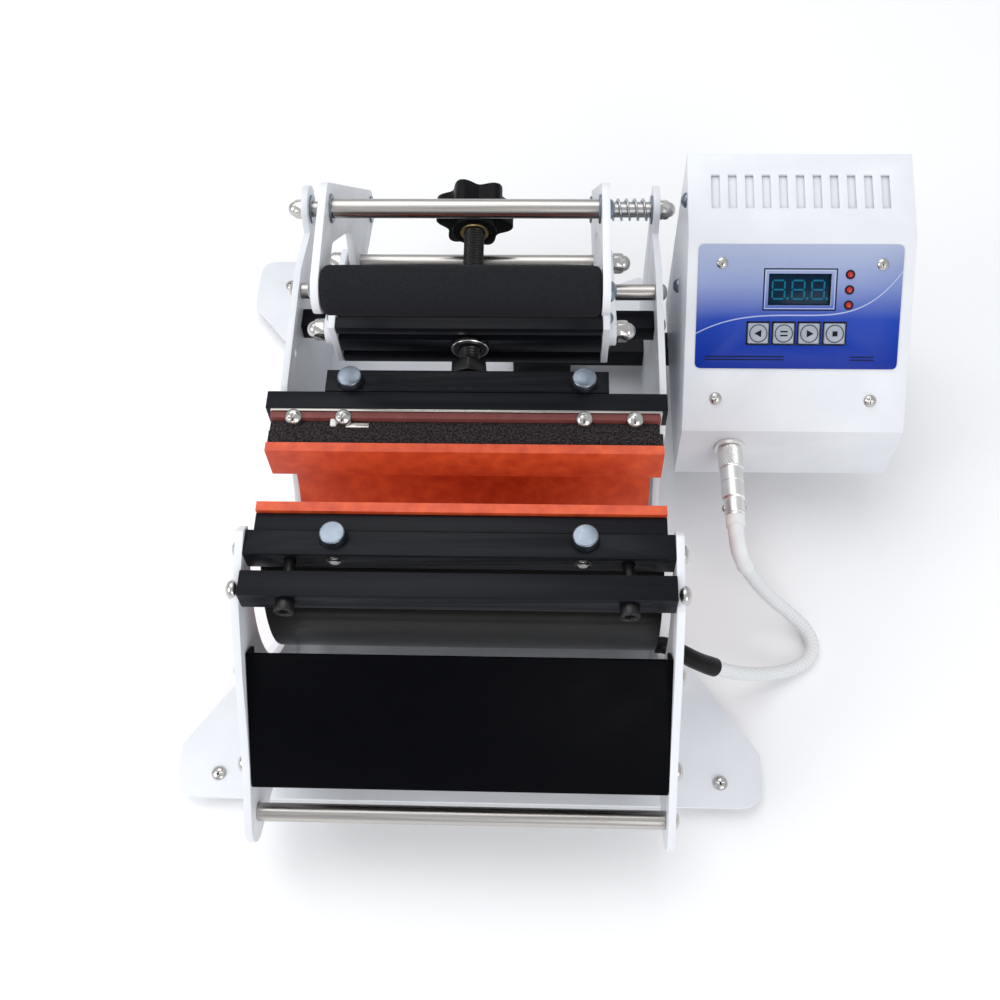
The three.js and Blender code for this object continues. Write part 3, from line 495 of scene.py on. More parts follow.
# The foam is squeezed round the bore and full at the neck. A radius or neck is given for the layer's inner
# and outer face, a top for its front and rear half.
layers = {
    "heater_pad": dict(
        radii=(49.0, 54.4), necks=(15.5, 20.9), tops=(RAIL_TOP, RAIL_TOP), half=WRAP_HALF, finish=silicone,
        slot="orange_silicone"),
    "heater_jacket": dict(
        radii=(54.7, 59.5), necks=(21.2, 30.2), tops=(PINCH_BOTTOM - 0.3, RAIL_TOP - 3), half=WRAP_HALF,
        finish=foam, slot="dark_foam"),
    "heater_shell": dict(
        radii=(59.6, 60.4), necks=(30.3, 31.1), tops=(128.0, 118.0), half=WRAP_HALF - 0.4,
        finish=shell_steel, slot="black_paint"),
}
for layer, form in layers.items():
    for (side, sign, body), top in zip((("front", -1, "frame"), ("rear", 1, "jaw")), form["tops"]):
        replaced = [] if layer == "heater_shell" else [layer + "_" + side]
        lines = [layer_path(radius, sign, neck, top) for radius, neck in zip(form["radii"], form["necks"])]
        band = sheet_band(*lines, form["half"])
        piece_from(layer + "_upper_" + side, band, form["finish"], body, replaced)
    lower = sheet_band(*[lower_path(radius) for radius in form["radii"]], form["half"])
    piece = piece_from(layer + "_lower", lower, form["finish"], None)
    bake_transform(piece)

# Rear jaw: a thin steel strip and a dull red silicone sheet are screwed to the front bar with four pan
# screws, and a block of foam fills the space down to the heater's neck.
red_sheet = Finish("dull_red_silicone", (0.24, 0.06, 0.05), 0.6)
red_sheet.tint(red_sheet.grain(190, detail=6), (0.14, 0.031, 0.026), (0.195, 0.047, 0.04), 0.3, 0.75)
red_sheet.bump(red_sheet.grain(800, detail=5), 0.3, 0.0003)
brushed = Finish("brushed_steel", (0.5, 0.475, 0.45), 0.3, 1.0)
brush_lines = brushed.grain(60, stretch=(0.25, 26, 26), detail=6)
brushed.tint(brush_lines, (0.42, 0.395, 0.375), (0.58, 0.555, 0.53), 0.3, 0.72)
brushed.rough(brushed.grain(90, stretch=(0.25, 20, 20)), 0.22, 0.38, 0.78)
brushed.bump(brush_lines, 0.06, 0.0001)

STRIP_FRONT, STRIP_BACK = -31.05, -19.65
STRIP_BOTTOM = 140.65


def rounded_block(name, low, high, edge, finish, body, replaced=(), segments=2):
    """A block between two places of the press, its edges broken."""
    work = bmesh.new()
    bmesh.ops.create_cube(work, size=1)
    low_at, high_at = place(*low), place(*high)
    middle, size = (low_at + high_at) / 2, high_at - low_at
    for vert in work.verts:
        vert.co = Vector([middle[axis] + vert.co[axis] * size[axis] for axis in range(3)])
    break_edges(work, work.edges[:], edge, segments)
    return piece_from(name, mesh_of(work, name, turn_outward=False), finish, body, replaced)


sheet_back = STRIP_BACK - 1.6
foam_back = sheet_back - 4.2
rounded_block(
    "jaw_steel_strip", (-WRAP_HALF, sheet_back + 0.1, STRIP_BOTTOM), (WRAP_HALF, STRIP_BACK, RAIL_TOP), 0.2,
    brushed, "jaw", ["jaw_strip"])
rounded_block(
    "jaw_red_sheet", (-WRAP_HALF, foam_back + 0.1, STRIP_BOTTOM - 6),
    (WRAP_HALF - 1, sheet_back, RAIL_TOP - 0.6), 0.5, red_sheet, "jaw")
rounded_block(
    "jaw_foam_block", (-WRAP_HALF, STRIP_FRONT - 1.4, STRIP_BOTTOM - 7),
    (WRAP_HALF - 1.5, foam_back, RAIL_TOP - 3.2), 1.2, foam, "jaw")
jaw_screw_facing = (0, -0.55, 0.83)
jaw_screws = [(place(x, foam_back + 0.6, RAIL_TOP - 1.6), jaw_screw_facing) for x in (-93, -66, 64, 91)]
screws("jaw_screws", jaw_screws, 4.9, 3.4, bright, "jaw")

# Cable clip and foil tape: a small moulded white clip and a strip of metal foil. Both sit on the foam by the
# left pair of screws.
clip_white = Finish("clip_white", (0.72, 0.72, 0.7), 0.45)
clip_white.rough(clip_white.grain(300), 0.38, 0.52)
rounded_block(
    "cable_clip", (-73, STRIP_FRONT + 1.5, RAIL_TOP - 3.6), (-69.5, STRIP_FRONT + 6.5, RAIL_TOP - 1.4), 1.0,
    clip_white, "jaw", segments=4)
rounded_block(
    "foil_tape", (-64.5, STRIP_FRONT + 1.2, RAIL_TOP - 3.4), (-52, STRIP_FRONT + 4.2, RAIL_TOP - 2.8), 0.15,
    brushed, "jaw")

# Nut pockets: two round recesses in the back rail's front face, each with the bright end of a clamp bolt in
# it. They are turned shapes, as are most round pieces that follow.
POCKET_X, POCKET_HEIGHT, BACK_RAIL_FRONT = 63.0, 145.8, -108.7
forward = (0, -1, 0)


def turned(name, parts, finish, body, replaced=(), sides=40, ripple=None):
    """Turned pieces. Each part is a start, an axis and a profile of (distance, radius) in millimetres; a
    profile that starts and ends off the axis is a ring. A ripple is the share of the radius that is left at a
    distance and an angle."""
    work = bmesh.new()
    for start, axis, profile in parts:
        axis = Vector(axis).normalized()
        across = axis.orthogonal().normalized()
        other = axis.cross(across)
        is_ring = profile[0][1] > 0 and profile[-1][1] > 0
        rings = []
        for distance, radius in profile:
            ring = []
            for side in range(sides if radius > 0 else 1):
                angle = 2 * math.pi * side / sides
                rippled = radius * (ripple(distance, angle, radius) if ripple else 1)
                spoke = (across * math.cos(angle) + other * math.sin(angle)) * rippled
                ring.append(work.verts.new(start + (axis * distance + spoke) / 1000))
            rings.append(ring)
        pairs = list(zip(rings, rings[1:])) + ([(rings[-1], rings[0])] if is_ring else [])
        for near, far in pairs:
            for side in range(sides):
                after = (side + 1) % sides
                corners = [near[side % len(near)], near[after % len(near)]]
                corners += [far[after % len(far)], far[side % len(far)]]
                unique = list(dict.fromkeys(corners))
                work.faces.new(unique)
    return piece_from(name, mesh_of(work, name), finish, body, replaced)


pocket_profile = [(-0.05, 0), (-0.05, 4.7), (0.2, 4.7), (0.25, 4.4), (0.1, 4.1), (0.05, 0)]
tip_profile = [(0, 0), (0, 3.1), (0.9, 3.0), (1.4, 2.3), (1.5, 0)]
pockets = [place(sign * POCKET_X, BACK_RAIL_FRONT, POCKET_HEIGHT) for sign in (-1, 1)]
turned("rail_pockets", [(at, forward, pocket_profile) for at in pockets], oxide, "frame")
turned("bolt_tips", [(at, forward, tip_profile) for at in pockets], bright, "frame")

# Cross-beam: a grooved black extrusion that leans with the screw, a white end plate at each end. The screw
# passes through a black bushing with a bright rim at its front.
SCREW_TILT = math.radians(8)
along_screw = Vector((0, math.cos(SCREW_TILT), math.sin(SCREW_TILT)))
beam_up = Vector((0, -math.sin(SCREW_TILT), math.cos(SCREW_TILT)))
BEAM = (40.0, 144.5)
beam_middle = place(0, *BEAM)
broken_edges("cross_beam", 0.5, anodised)
END_PLATE_FACE, END_SCREW_HEIGHT = 78.3, 14.4
for side, sign in (("left", -1), ("right", 1)):
    broken_edges("beam_end_plate_" + side, 0.5, powder)
    plate_face = place(sign * END_PLATE_FACE, *BEAM)
    plate_heads = [
        (plate_face + beam_up * height / 1000, (sign, 0, 0))
        for height in (-END_SCREW_HEIGHT, END_SCREW_HEIGHT)]
    screws("end_plate_screws_" + side, plate_heads, 3.2, 2.0, zinc, "beam")
bushing_profile = [(-13.3, 6.4), (-13.3, 9.1), (-12.6, 9.8), (-10.3, 9.8), (-10.3, 6.4)]
rim_profile = [(-12.6, 9.85), (-12.6, 10.3), (-12.2, 10.6), (-10.3, 10.6), (-10.3, 9.85)]
bushing_part = (beam_middle, along_screw, bushing_profile)
turned("bushing_ring", [bushing_part], oxide, "beam", ["beam_bushing"], sides=56)
turned("bushing_rim", [(beam_middle, along_screw, rim_profile)], bright, "beam", sides=56)

# Pressure screw: an M12 screw with a rolled thread, black oxide, with a hex nut at its front. It pushes the
# jaw.
SCREW_FRONT, SCREW_BACK = -33.1, 83.0
SCREW_RADIUS, THREAD_DEPTH, THREAD_PITCH = 6.0, 0.75, 1.75


def thread(distance, angle, radius):
    if radius < SCREW_RADIUS - 0.01:
        return 1
    turn = (distance / THREAD_PITCH - angle / (2 * math.pi)) % 1
    return 1 - THREAD_DEPTH * abs(2 * turn - 1) / radius


rings_per_turn = 8
ring_pitch = THREAD_PITCH / rings_per_turn
ring_count = round((SCREW_BACK - SCREW_FRONT - 2) / THREAD_PITCH * rings_per_turn)
screw_profile = [(SCREW_FRONT, 0), (SCREW_FRONT, SCREW_RADIUS - 1.2), (SCREW_FRONT + 0.9, SCREW_RADIUS - 0.5)]
screw_profile += [(SCREW_FRONT + 1 + ring * ring_pitch, SCREW_RADIUS) for ring in range(ring_count + 1)]
screw_profile += [(SCREW_BACK - 0.5, SCREW_RADIUS - 0.5), (SCREW_BACK, SCREW_RADIUS - 1.2), (SCREW_BACK, 0)]
turned(
    "threaded_screw", [(beam_middle, along_screw, screw_profile)], oxide, "screw",
    ["pressure_screw"], 24, thread)
broken_edges("screw_nut", 0.7, oxide)

# Star knob: moulded black plastic with six lobes, a boss at its front and a thin brass ring where the screw
# goes in.
knob_plastic = Finish("knob_plastic", (0.004, 0.004, 0.005), 0.4, specular=0.1)
knob_plastic.rough(knob_plastic.grain(250), 0.34, 0.5)
knob_plastic.bump(knob_plastic.grain(1400), 0.12, 0.0001)
brass = Finish("brass_ring", (0.62, 0.45, 0.2), 0.3, 1.0)
brass.tint(brass.grain(300), (0.5, 0.36, 0.15), (0.7, 0.52, 0.26))
broken_edges("star_knob", 1.8, knob_plastic, segments=4)
insert_profile = [(65.2, 6.4), (65.2, 8.3), (66.4, 8.6), (66.4, 6.4)]
turned("knob_insert", [(beam_middle, along_screw, insert_profile)], brass, "screw")

# Lever: two bent white plates. A foam tube sits on the rod between their front ends, and a spacer bar holds
# the bend.
grip_foam = Finish("grip_foam", (0.018, 0.0185, 0.023), 0.92, specular=0.2)
specks = grip_foam.grain(1900, detail=6)
grip_foam.tint(specks, (0.008, 0.0085, 0.011), (0.017, 0.018, 0.023), 0.42, 0.7)
grip_foam.bump(specks, 0.45, 0.0004)
for side in ("left", "right"):
    broken_edges("lever_plate_" + side, 0.5, powder)
GRIP = (10.0, 215.0)
GRIP_HALF, GRIP_RADIUS, GRIP_ROUND, ROD_RADIUS = 70.6, 12.7, 3.5, 5.0
rightward = (1, 0, 0)
left_round = [
    (-GRIP_HALF + GRIP_ROUND * (1 - math.cos(angle)), GRIP_RADIUS - GRIP_ROUND * (1 - math.sin(angle)))
    for angle in (math.radians(15 * step) for step in range(7))
]
right_round = [(-distance, radius) for distance, radius in reversed(left_round)]
grip_profile = [(-GRIP_HALF, ROD_RADIUS + 0.3)] + left_round
grip_profile += [(-60, GRIP_RADIUS), (0, GRIP_RADIUS + 0.05), (60, GRIP_RADIUS)]
grip_profile += right_round + [(GRIP_HALF, ROD_RADIUS + 0.3)]
grip_part = (place(0, *GRIP), rightward, grip_profile)
turned("foam_grip", [grip_part], grip_foam, "lever", ["lever_grip"], sides=64)

# Round bars: brushed stainless, turned to length with a small chamfer at each end. Each is given by its
# place, half length and body.
CHAMFER = 0.5
LEVER_HALF = 71.0
LEVER_BAR = (108.0, 124.0)
LEVER_SPACER = (62.0, 219.0)
INNER_HALF = OUTER_HALF - PLATE_SHEET
bars = {
    "grip_rod": (GRIP, LEVER_HALF, "lever"),
    "lever_spacer_bar": (LEVER_SPACER, LEVER_HALF, "lever"),
    "lever_bar": (LEVER_BAR, 86.0, "lever"),
    "pivot_shaft": (PIVOT, OUTER_HALF + 3, "frame"),
    "front_tie_bar": (FRONT_TIE, INNER_HALF, "frame"),
    "rear_tie_bar": (REAR_TIE, INNER_HALF, "frame"),
}
for name, (side_place, half, body) in bars.items():
    left_end = [(-half, 0), (-half, ROD_RADIUS - CHAMFER), (-half + CHAMFER, ROD_RADIUS)]
    right_end = [(-distance, radius) for distance, radius in reversed(left_end)]
    bar_part = (place(0, *side_place), rightward, left_end + [(0, ROD_RADIUS)] + right_end)
    turned(name + "_brushed", [bar_part], brushed, body, [name], sides=36)

# Links: 4 mm steel plates with round ends, powder coated white. They join the lever bar to the cross-beam,
# one at each end.
LINK_INNER, LINK_OUTER, LINK_ROUND = 78.5, 82.5, 8.0
link_start, link_end = Vector(LEVER_BAR), Vector(BEAM)
link_along = math.atan2(link_end.y - link_start.y, link_end.x - link_start.x)
link_outline = [
    centre + Vector((math.cos(angle), math.sin(angle))) * LINK_ROUND
    for centre, first in ((link_end, link_along - math.pi / 2), (link_start, link_along + math.pi / 2))
    for angle in (first + math.pi * step / 16 for step in range(17))
]


def prism(work, low, high):
    """Two matching outlines as the ends of a closed prism."""
    work.faces.new(low)
    work.faces.new(high)
    for index in range(len(low)):
        after = (index + 1) % len(low)
        work.faces.new((low[index], low[after], high[after], high[index]))


def side_sheet(name, outline, from_x, to_x, body, slot, replaced=()):
    """A white sheet whose outline is drawn in the side view as Y and height, its rims slightly rounded."""
    work = bmesh.new()
    ends = [[work.verts.new(place(x, at[0], at[1])) for at in outline] for x in (from_x, to_x)]
    prism(work, *ends)
    bmesh.ops.recalc_face_normals(work, faces=work.faces)
    rims = [edge for edge in work.edges if edge.calc_face_angle() > math.radians(60)]
    break_edges(work, rims, 0.4)
    return piece_from(name, mesh_of(work, name, turn_outward=False), powder, body, replaced)


for side, sign in (("left", -1), ("right", 1)):
    faces_at = (sign * LINK_INNER, sign * LINK_OUTER)
    side_sheet("link_plate_" + side, link_outline, *faces_at, "links", "white_coat", ["link_" + side])


# Acorn nuts: nickel plated hex nuts with a dome, screwed on the ends of the shaft, the lever bar and the
# links.
def acorn(tree, radius, height):
    """A hex prism with its corners turned down, and a ball that rises from its outer end."""

    def scaled(socket, factor):
        return add_node(tree, "ShaderNodeMath", {0: socket, 1: factor}, "MULTIPLY").outputs[0]

    hexagon = add_node(tree, "GeometryNodeMeshCylinder", {"Vertices": 6, "Radius": radius, "Depth": height})
    corner_ball = ball(tree, 36, 20, scaled(radius, 1.04))
    chamfered = add_node(tree, "GeometryNodeMeshBoolean", {
        "Mesh 2": [hexagon.outputs["Mesh"], corner_ball]}, "INTERSECT")
    nut = lifted(tree, chamfered.outputs["Mesh"], scaled(height, 0.5))
    dome = lifted(tree, ball(tree, 36, 20, scaled(radius, 0.78)), scaled(height, 0.95))
    return add_node(tree, "GeometryNodeMeshBoolean", {"Mesh 2": [nut, dome]}, "UNION").outputs["Mesh"]


acorn_nuts = heads_tree("acorn_nuts", acorn)
NUT_RADIUS, NUT_LENGTH = 6.3, 6.4
LEVER_BAR_THREAD = 82.7
nut_pairs = {
    "shaft_nuts": (OUTER_HALF, PIVOT, "frame"),
    "lever_bar_nuts": (LEVER_BAR_THREAD, LEVER_BAR, "lever"),
    "link_nuts": (LINK_OUTER, BEAM, "links"),
}
for name, (x, side_place, body) in nut_pairs.items():
    pair = [(place(sign * x, *side_place), (sign, 0, 0)) for sign in (-1, 1)]
    screws(name, pair, NUT_RADIUS, NUT_LENGTH, bright, body, acorn_nuts)

# Washers: zinc plated rings where the shaft and the spacer bar pass a plate. Zinc pan screws hold the grip's
# rod and the spacer bar from outside.
WASHER_THICKNESS, WASHER_HOLE, WASHER_EDGE = 1.2, 5.1, 0.3
LEVER_WASHERS = (-71, 69.8)
LEVER_OUTER = 75


def washer(x, side_place, radius):
    profile = [
        (0, WASHER_HOLE), (0, radius - WASHER_EDGE), (WASHER_EDGE, radius),
        (WASHER_THICKNESS - WASHER_EDGE, radius), (WASHER_THICKNESS, radius - WASHER_EDGE),
        (WASHER_THICKNESS, WASHER_HOLE)]
    return place(x, *side_place), rightward, profile


beside_plates = (-INNER_HALF, -77.4, 75.2, INNER_HALF - WASHER_THICKNESS)
shaft_washers = [washer(x, PIVOT, 9.0) for x in beside_plates]
turned("shaft_washers", shaft_washers, zinc, "frame", sides=48)
lever_washers = [washer(x, PIVOT, 8.4) for x in LEVER_WASHERS]
lever_washers += [washer(x, LEVER_SPACER, 7.6) for x in LEVER_WASHERS]
turned("lever_washers", lever_washers, zinc, "lever", sides=48)
outer_heads = [
    (place(sign * LEVER_OUTER, *side_place), (sign, 0, 0))
    for sign in (-1, 1) for side_place in (GRIP, LEVER_SPACER)]
screws("lever_screws", outer_heads, 5.4, 3.4, zinc, "lever")

# Return spring: pale steel wire, wound in six open turns. It sits on the pivot shaft between the lever and
# the right side plate.
SPRING_FROM, SPRING_TO = 76.5, 108.0
SPRING_RADIUS, WIRE_RADIUS, SPRING_TURNS = 6.5, 0.75, 6


def tube_mesh(name, points, radius_at, sides=12):
    """A closed tube along a line of points; radius_at gives its radius from the share of the way."""
    work = bmesh.new()
    wrap = work.loops.layers.uv.new("along_tube")
    rings = []
    across = None
    for index, point in enumerate(points):
        ahead = points[min(index + 1, len(points) - 1)] - points[max(index - 1, 0)]
        ahead.normalize()
        across = ahead.orthogonal() if across is None else across - ahead * across.dot(ahead)
        across.normalize()
        other = ahead.cross(across)
        radius = radius_at(index / (len(points) - 1)) / 1000
        rings.append([
            work.verts.new(point + (across * math.cos(angle) + other * math.sin(angle)) * radius)
            for angle in (2 * math.pi * side / sides for side in range(sides))
        ])
    for row, (near, far) in enumerate(zip(rings, rings[1:])):
        for side in range(sides):
            after = (side + 1) % sides
            face = work.faces.new((near[side], near[after], far[after], far[side]))
            corners = ((side, row), (side + 1, row), (side + 1, row + 1), (side, row + 1))
            for loop, (around, along) in zip(face.loops, corners):
                loop[wrap].uv = (around / sides, along / (len(points) - 1))
    work.faces.new(rings[0][::-1])
    work.faces.new(rings[-1])
    return mesh_of(work, name)


coil = []
coil_steps = SPRING_TURNS * 36
for step in range(coil_steps + 1):
    share = step / coil_steps
    angle = 2 * math.pi * SPRING_TURNS * share
    x = SPRING_FROM + (SPRING_TO - SPRING_FROM) * share
    y = PIVOT[0] + SPRING_RADIUS * math.cos(angle)
    z = PIVOT[1] + SPRING_RADIUS * math.sin(angle)
    coil.append(place(x, y, z))
spring_wire = Finish("spring_wire", (0.5, 0.56, 0.61), 0.25, 1.0)
spring_wire.rough(spring_wire.grain(300), 0.2, 0.32)
coil_mesh = tube_mesh("spring_coil", coil, lambda share: WIRE_RADIUS)
piece_from("spring_coil", coil_mesh, spring_wire, "frame", ["return_spring"])

# Control box: folded white sheet with a sloping face and vent slots, held by small pan screws. Two zinc bolts
# hold it at the left. In the side view its roof runs back and up from the top of the face.
BOX_LEFT = OUTER_HALF + 12.5
FACE_TOP, ROOF_BACK = (106.3, 151.0), (157.0, 166.0)
FACE_ANGLE = math.atan2(77, 86.8)
face_right = Vector(rightward)
face_up = Vector((0, math.cos(FACE_ANGLE), math.sin(FACE_ANGLE)))
face_out = Vector((0, -math.sin(FACE_ANGLE), math.cos(FACE_ANGLE)))
face_origin = place(BOX_LEFT, *FACE_TOP)


def on_face(across, down, out=0.0):
    """A place on the box's face: millimetres from its left edge, down from its top edge, and out of it."""
    return face_origin + (face_right * across - face_up * down + face_out * out) / 1000


broken_edges("box_shell", 0.7, powder, segments=3)
broken_edges("box_floor", 0.3, powder)
face_screw_places = ((20.3, 16), (114.1, 16.5), (19.4, 96.3), (111.7, 97))
face_screws = [(on_face(across, down), face_out) for across, down in face_screw_places]
screws("face_screws", face_screws, 3.8, 2.2, bright, "frame")
box_bolts = [(place(BOX_LEFT, y, z), (-1, 0, 0)) for y, z in ((134, 151), (116.5, 93.5))]
screws("box_bolts", box_bolts, 4.6, 3.2, zinc, "frame")

# Vent liner: a white sheet that hangs under the slots along the slope of the roof. It makes them look pale
# and lets no dust fall on the board.
LINER_GAP, LINER_SHEET = 2.4, 0.8
LINER_LEFT, LINER_RIGHT, LINER_FRONT, LINER_BACK = 132.5, 252.5, 113, 153
roof_slope = (ROOF_BACK[1] - FACE_TOP[1]) / (ROOF_BACK[0] - FACE_TOP[0])
liner_top = [(y, FACE_TOP[1] + (y - FACE_TOP[0]) * roof_slope - LINER_GAP) for y in (LINER_FRONT, LINER_BACK)]
liner_outline = liner_top + [(y, z - LINER_SHEET) for y, z in reversed(liner_top)]
side_sheet("vent_liner", liner_outline, LINER_LEFT, LINER_RIGHT, "frame", "white_coat")

# Face label: a printed film, pale grey-blue at the top and royal blue at the bottom, with one pale sweeping
# line. Its material measures the label in millimetres from the top left corner of the box's face.
LABEL_TOP, LABEL_BOTTOM = -5.0, -78.0
LABEL_MIDDLE, LABEL_HALF = 66.1, 59.9
LINE_LEVEL, LINE_HALF, LINE_CLIMB, LINE_DROP = -46.3, 0.55, 26.0, 11.0
HAZE_REACH, HAZE = 30.0, 0.16

label = Finish("printed_label", (0.1, 0.18, 0.6), 0.28, specular=0.14)
worked_out = label.worked_out
where = label.tree.nodes.new("ShaderNodeTexCoord").outputs["Object"]
to_face = add_node(label.tree, "ShaderNodeMapping", {
    "Vector": where, "Location": face_origin, "Rotation": (FACE_ANGLE, 0, 0), "Scale": (0.001, 0.001, 0.001)})
to_face.vector_type = "TEXTURE"
apart = add_node(label.tree, "ShaderNodeSeparateXYZ", {"Vector": to_face.outputs["Vector"]})
across_label, up_label = apart.outputs["X"], apart.outputs["Y"]

down_share = worked_out("DIVIDE", worked_out("SUBTRACT", LABEL_TOP, up_label), LABEL_TOP - LABEL_BOTTOM)
fade = label.ramp(down_share, [
    (0.0, (0.33, 0.38, 0.54)), (0.33, (0.19, 0.25, 0.5)), (0.6, (0.012, 0.052, 0.38)),
    (1.0, (0.0, 0.021, 0.28))])
# The line is level in the label's middle and climbs towards its right end, and drops less towards its left: a
# power of the distance from the middle on each side.
from_middle = worked_out("DIVIDE", worked_out("SUBTRACT", across_label, LABEL_MIDDLE), LABEL_HALF)
to_right = worked_out("MAXIMUM", from_middle, 0.0)
to_left = worked_out("MAXIMUM", worked_out("MULTIPLY", from_middle, -1.0), 0.0)
climb = worked_out("MULTIPLY", worked_out("POWER", to_right, 3.4), LINE_CLIMB)
drop = worked_out("MULTIPLY", worked_out("POWER", to_left, 3.0), LINE_DROP)
line_height = worked_out("ADD", worked_out("SUBTRACT", climb, drop), LINE_LEVEL)
over_line = worked_out("SUBTRACT", up_label, line_height)
off_line = worked_out("DIVIDE", worked_out("ABSOLUTE", over_line), LINE_HALF)
glow = worked_out("SUBTRACT", 1.0, worked_out("MINIMUM", off_line, 1.0))
rise = worked_out("MINIMUM", worked_out("MAXIMUM", worked_out("DIVIDE", over_line, HAZE_REACH), 0.0), 1.0)
pale = worked_out("MAXIMUM", worked_out("MULTIPLY", glow, 0.7), worked_out("MULTIPLY", rise, HAZE))
whiten = label.tree.nodes.new("ShaderNodeMix")
whiten.data_type = "RGBA"
whiten_inputs = [socket for socket in whiten.inputs if socket.type == "RGBA"]
whiten_inputs[1].default_value = (0.72, 0.77, 0.9, 1)
label.tree.links.new(pale, whiten.inputs[0])
label.tree.links.new(fade, whiten_inputs[0])
whitened = next(socket for socket in whiten.outputs if socket.type == "RGBA")
label.tree.links.new(whitened, label.shader.inputs["Base Color"])
label.rough(label.grain(120), 0.26, 0.36)
broken_edges("face_label", 0.12, label)

# Print on the label: dark thin double lines near its lower edge and a frame round the window and each key,
# and a pale line inside the window's frame.
LABEL_FACE = 0.8
KEY_PLACES = (43.0, 58.0, 73.0, 88.0)


def face_marks(name, outlines, finish, lift, thickness=0.06, body="frame"):
    """Flat marks on the face, each the outline of its (across, down) points."""
    work = bmesh.new()
    for outline in outlines:
        low, high = [
            [work.verts.new(on_face(across, down, out)) for across, down in outline]
            for out in (lift, lift + thickness)]
        prism(work, low, high)
    return piece_from(name, mesh_of(work, name), finish, body)


def bar_outline(left, top, right, bottom):
    return [(left, top), (right, top), (right, bottom), (left, bottom)]


def frame_outlines(left, top, right, bottom, width):
    """The four sides of a thin frame round a window or a key."""
    return [
        bar_outline(left - width, top - width, right + width, top),
        bar_outline(left - width, bottom, right + width, bottom + width),
        bar_outline(left - width, top, left, bottom),
        bar_outline(right, top, right + width, bottom),
    ]


dark_print = Finish("dark_print", (0.004, 0.005, 0.02), 0.4, specular=0.12)
dark_print.rough(dark_print.grain(200), 0.34, 0.46)
pale_print = Finish("pale_print", (0.5, 0.56, 0.72), 0.4)
pale_print.rough(pale_print.grain(200), 0.34, 0.46)
printed = [
    bar_outline(left, down, right, down + 0.7)
    for left, right in ((12, 59), (98, 112)) for down in (70.5, 72.3)]
printed += frame_outlines(45.6, 19.6, 87.4, 42.9, 0.7)
for across in KEY_PLACES:
    printed += frame_outlines(across - 6.5, 50.5, across + 6.5, 63.5, 0.6)
face_marks("printed_lines", printed, dark_print, LABEL_FACE)
window_line = frame_outlines(46.3, 20.3, 86.7, 42.2, 0.35)
face_marks("window_line", window_line, pale_print, LABEL_FACE, thickness=0.05)

# Display: a dark teal window with three seven-segment digits, each with its point. The lit segments are thin
# marks on the window.
display = Finish("display_window", (0.003, 0.02, 0.026), 0.16, specular=0.1)
display.tint(display.grain(50), (0.002, 0.015, 0.036), (0.003, 0.022, 0.05))
broken_edges("display_board", 0.2, display)
lit = Finish("lit_segment", (0.003, 0.09, 0.15), 0.3, specular=0.1)
lit.shader.inputs["Emission Color"].default_value = (0.002, 0.16, 0.27, 1)
lit.shader.inputs["Emission Strength"].default_value = 0.3
lit.rough(lit.grain(300), 0.25, 0.4)
GLASS_FACE = -1.8
DIGIT_WIDTH, DIGIT_HEIGHT, DIGIT_PITCH = 7.2, 10.8, 11.6
SEGMENT_HALF, SEGMENT_GAP = 0.5, 0.35
FIRST_DIGIT, DIGIT_TOP = 50.8, 26.0


def segment(from_across, from_down, to_across, to_down):
    """A lit bar with pointed ends between two places of a digit, either level or upright."""
    start, end = Vector((from_across, from_down)), Vector((to_across, to_down))
    along = (end - start).normalized() * SEGMENT_HALF
    beside = Vector((along.y, -along.x))
    return [
        start, start + along + beside, end - along + beside,
        end, end - along - beside, start + along - beside]


segments = []
middle_down, low_down = DIGIT_TOP + DIGIT_HEIGHT / 2, DIGIT_TOP + DIGIT_HEIGHT
for digit in range(3):
    left = FIRST_DIGIT + digit * DIGIT_PITCH
    right = left + DIGIT_WIDTH
    for down in (DIGIT_TOP, middle_down, low_down):
        segments.append(segment(left + SEGMENT_GAP, down, right - SEGMENT_GAP, down))
    for across in (left, right):
        segments.append(segment(across, DIGIT_TOP + SEGMENT_GAP, across, middle_down - SEGMENT_GAP))
        segments.append(segment(across, middle_down + SEGMENT_GAP, across, low_down - SEGMENT_GAP))
    point_left = right + 1.1
    segments.append(bar_outline(point_left, low_down - 0.9, point_left + 1.4, low_down + 0.5))
face_marks("digits", segments, lit, GLASS_FACE)

# Lamps: three small domes of red plastic beside the display. Each stands on the label in a dark
# ring.
lamp_red = Finish("lamp_red", (0.4, 0.02, 0.015), 0.2)
lamp_red.rough(lamp_red.grain(400), 0.14, 0.28)
lamp_ring = Finish("lamp_ring", (0.004, 0.004, 0.006), 0.35, specular=0.12)
lamp_ring.rough(lamp_ring.grain(400), 0.28, 0.45)
lamp_places = [on_face(95.4, down, LABEL_FACE - 0.3) for down in (22.4, 31.3, 40.2)]
dome_profile = [(0, 0), (0, 1.9), (0.5, 1.9), (1.0, 1.6), (1.3, 0.9), (1.4, 0)]
ring_profile = [(0, 1.95), (0, 2.8), (0.7, 2.7), (0.7, 1.95)]
domes = [(at, face_out, dome_profile) for at in lamp_places]
dark_rings = [(at, face_out, ring_profile) for at in lamp_places]
turned("lamps", domes, lamp_red, "frame", sides=28)
turned("lamp_rings", dark_rings, lamp_ring, "frame", sides=28)

# Keys: four square caps of pale plastic, each with a round domed button, a dark rim and a plain sign. All of
# a key's pieces move with it.
key_plastic = Finish("key_plastic", (0.33, 0.36, 0.42), 0.35)
key_plastic.rough(key_plastic.grain(260), 0.3, 0.42)
KEY_DOWN, KEY_TOP, BUTTON_RISE = 57.0, 2.0, 0.75


def triangle_sign(across, toward):
    back, point = across - toward * 1.6, across + toward * 2.4
    return [(back, KEY_DOWN - 2.2), (point, KEY_DOWN), (back, KEY_DOWN + 2.2)]


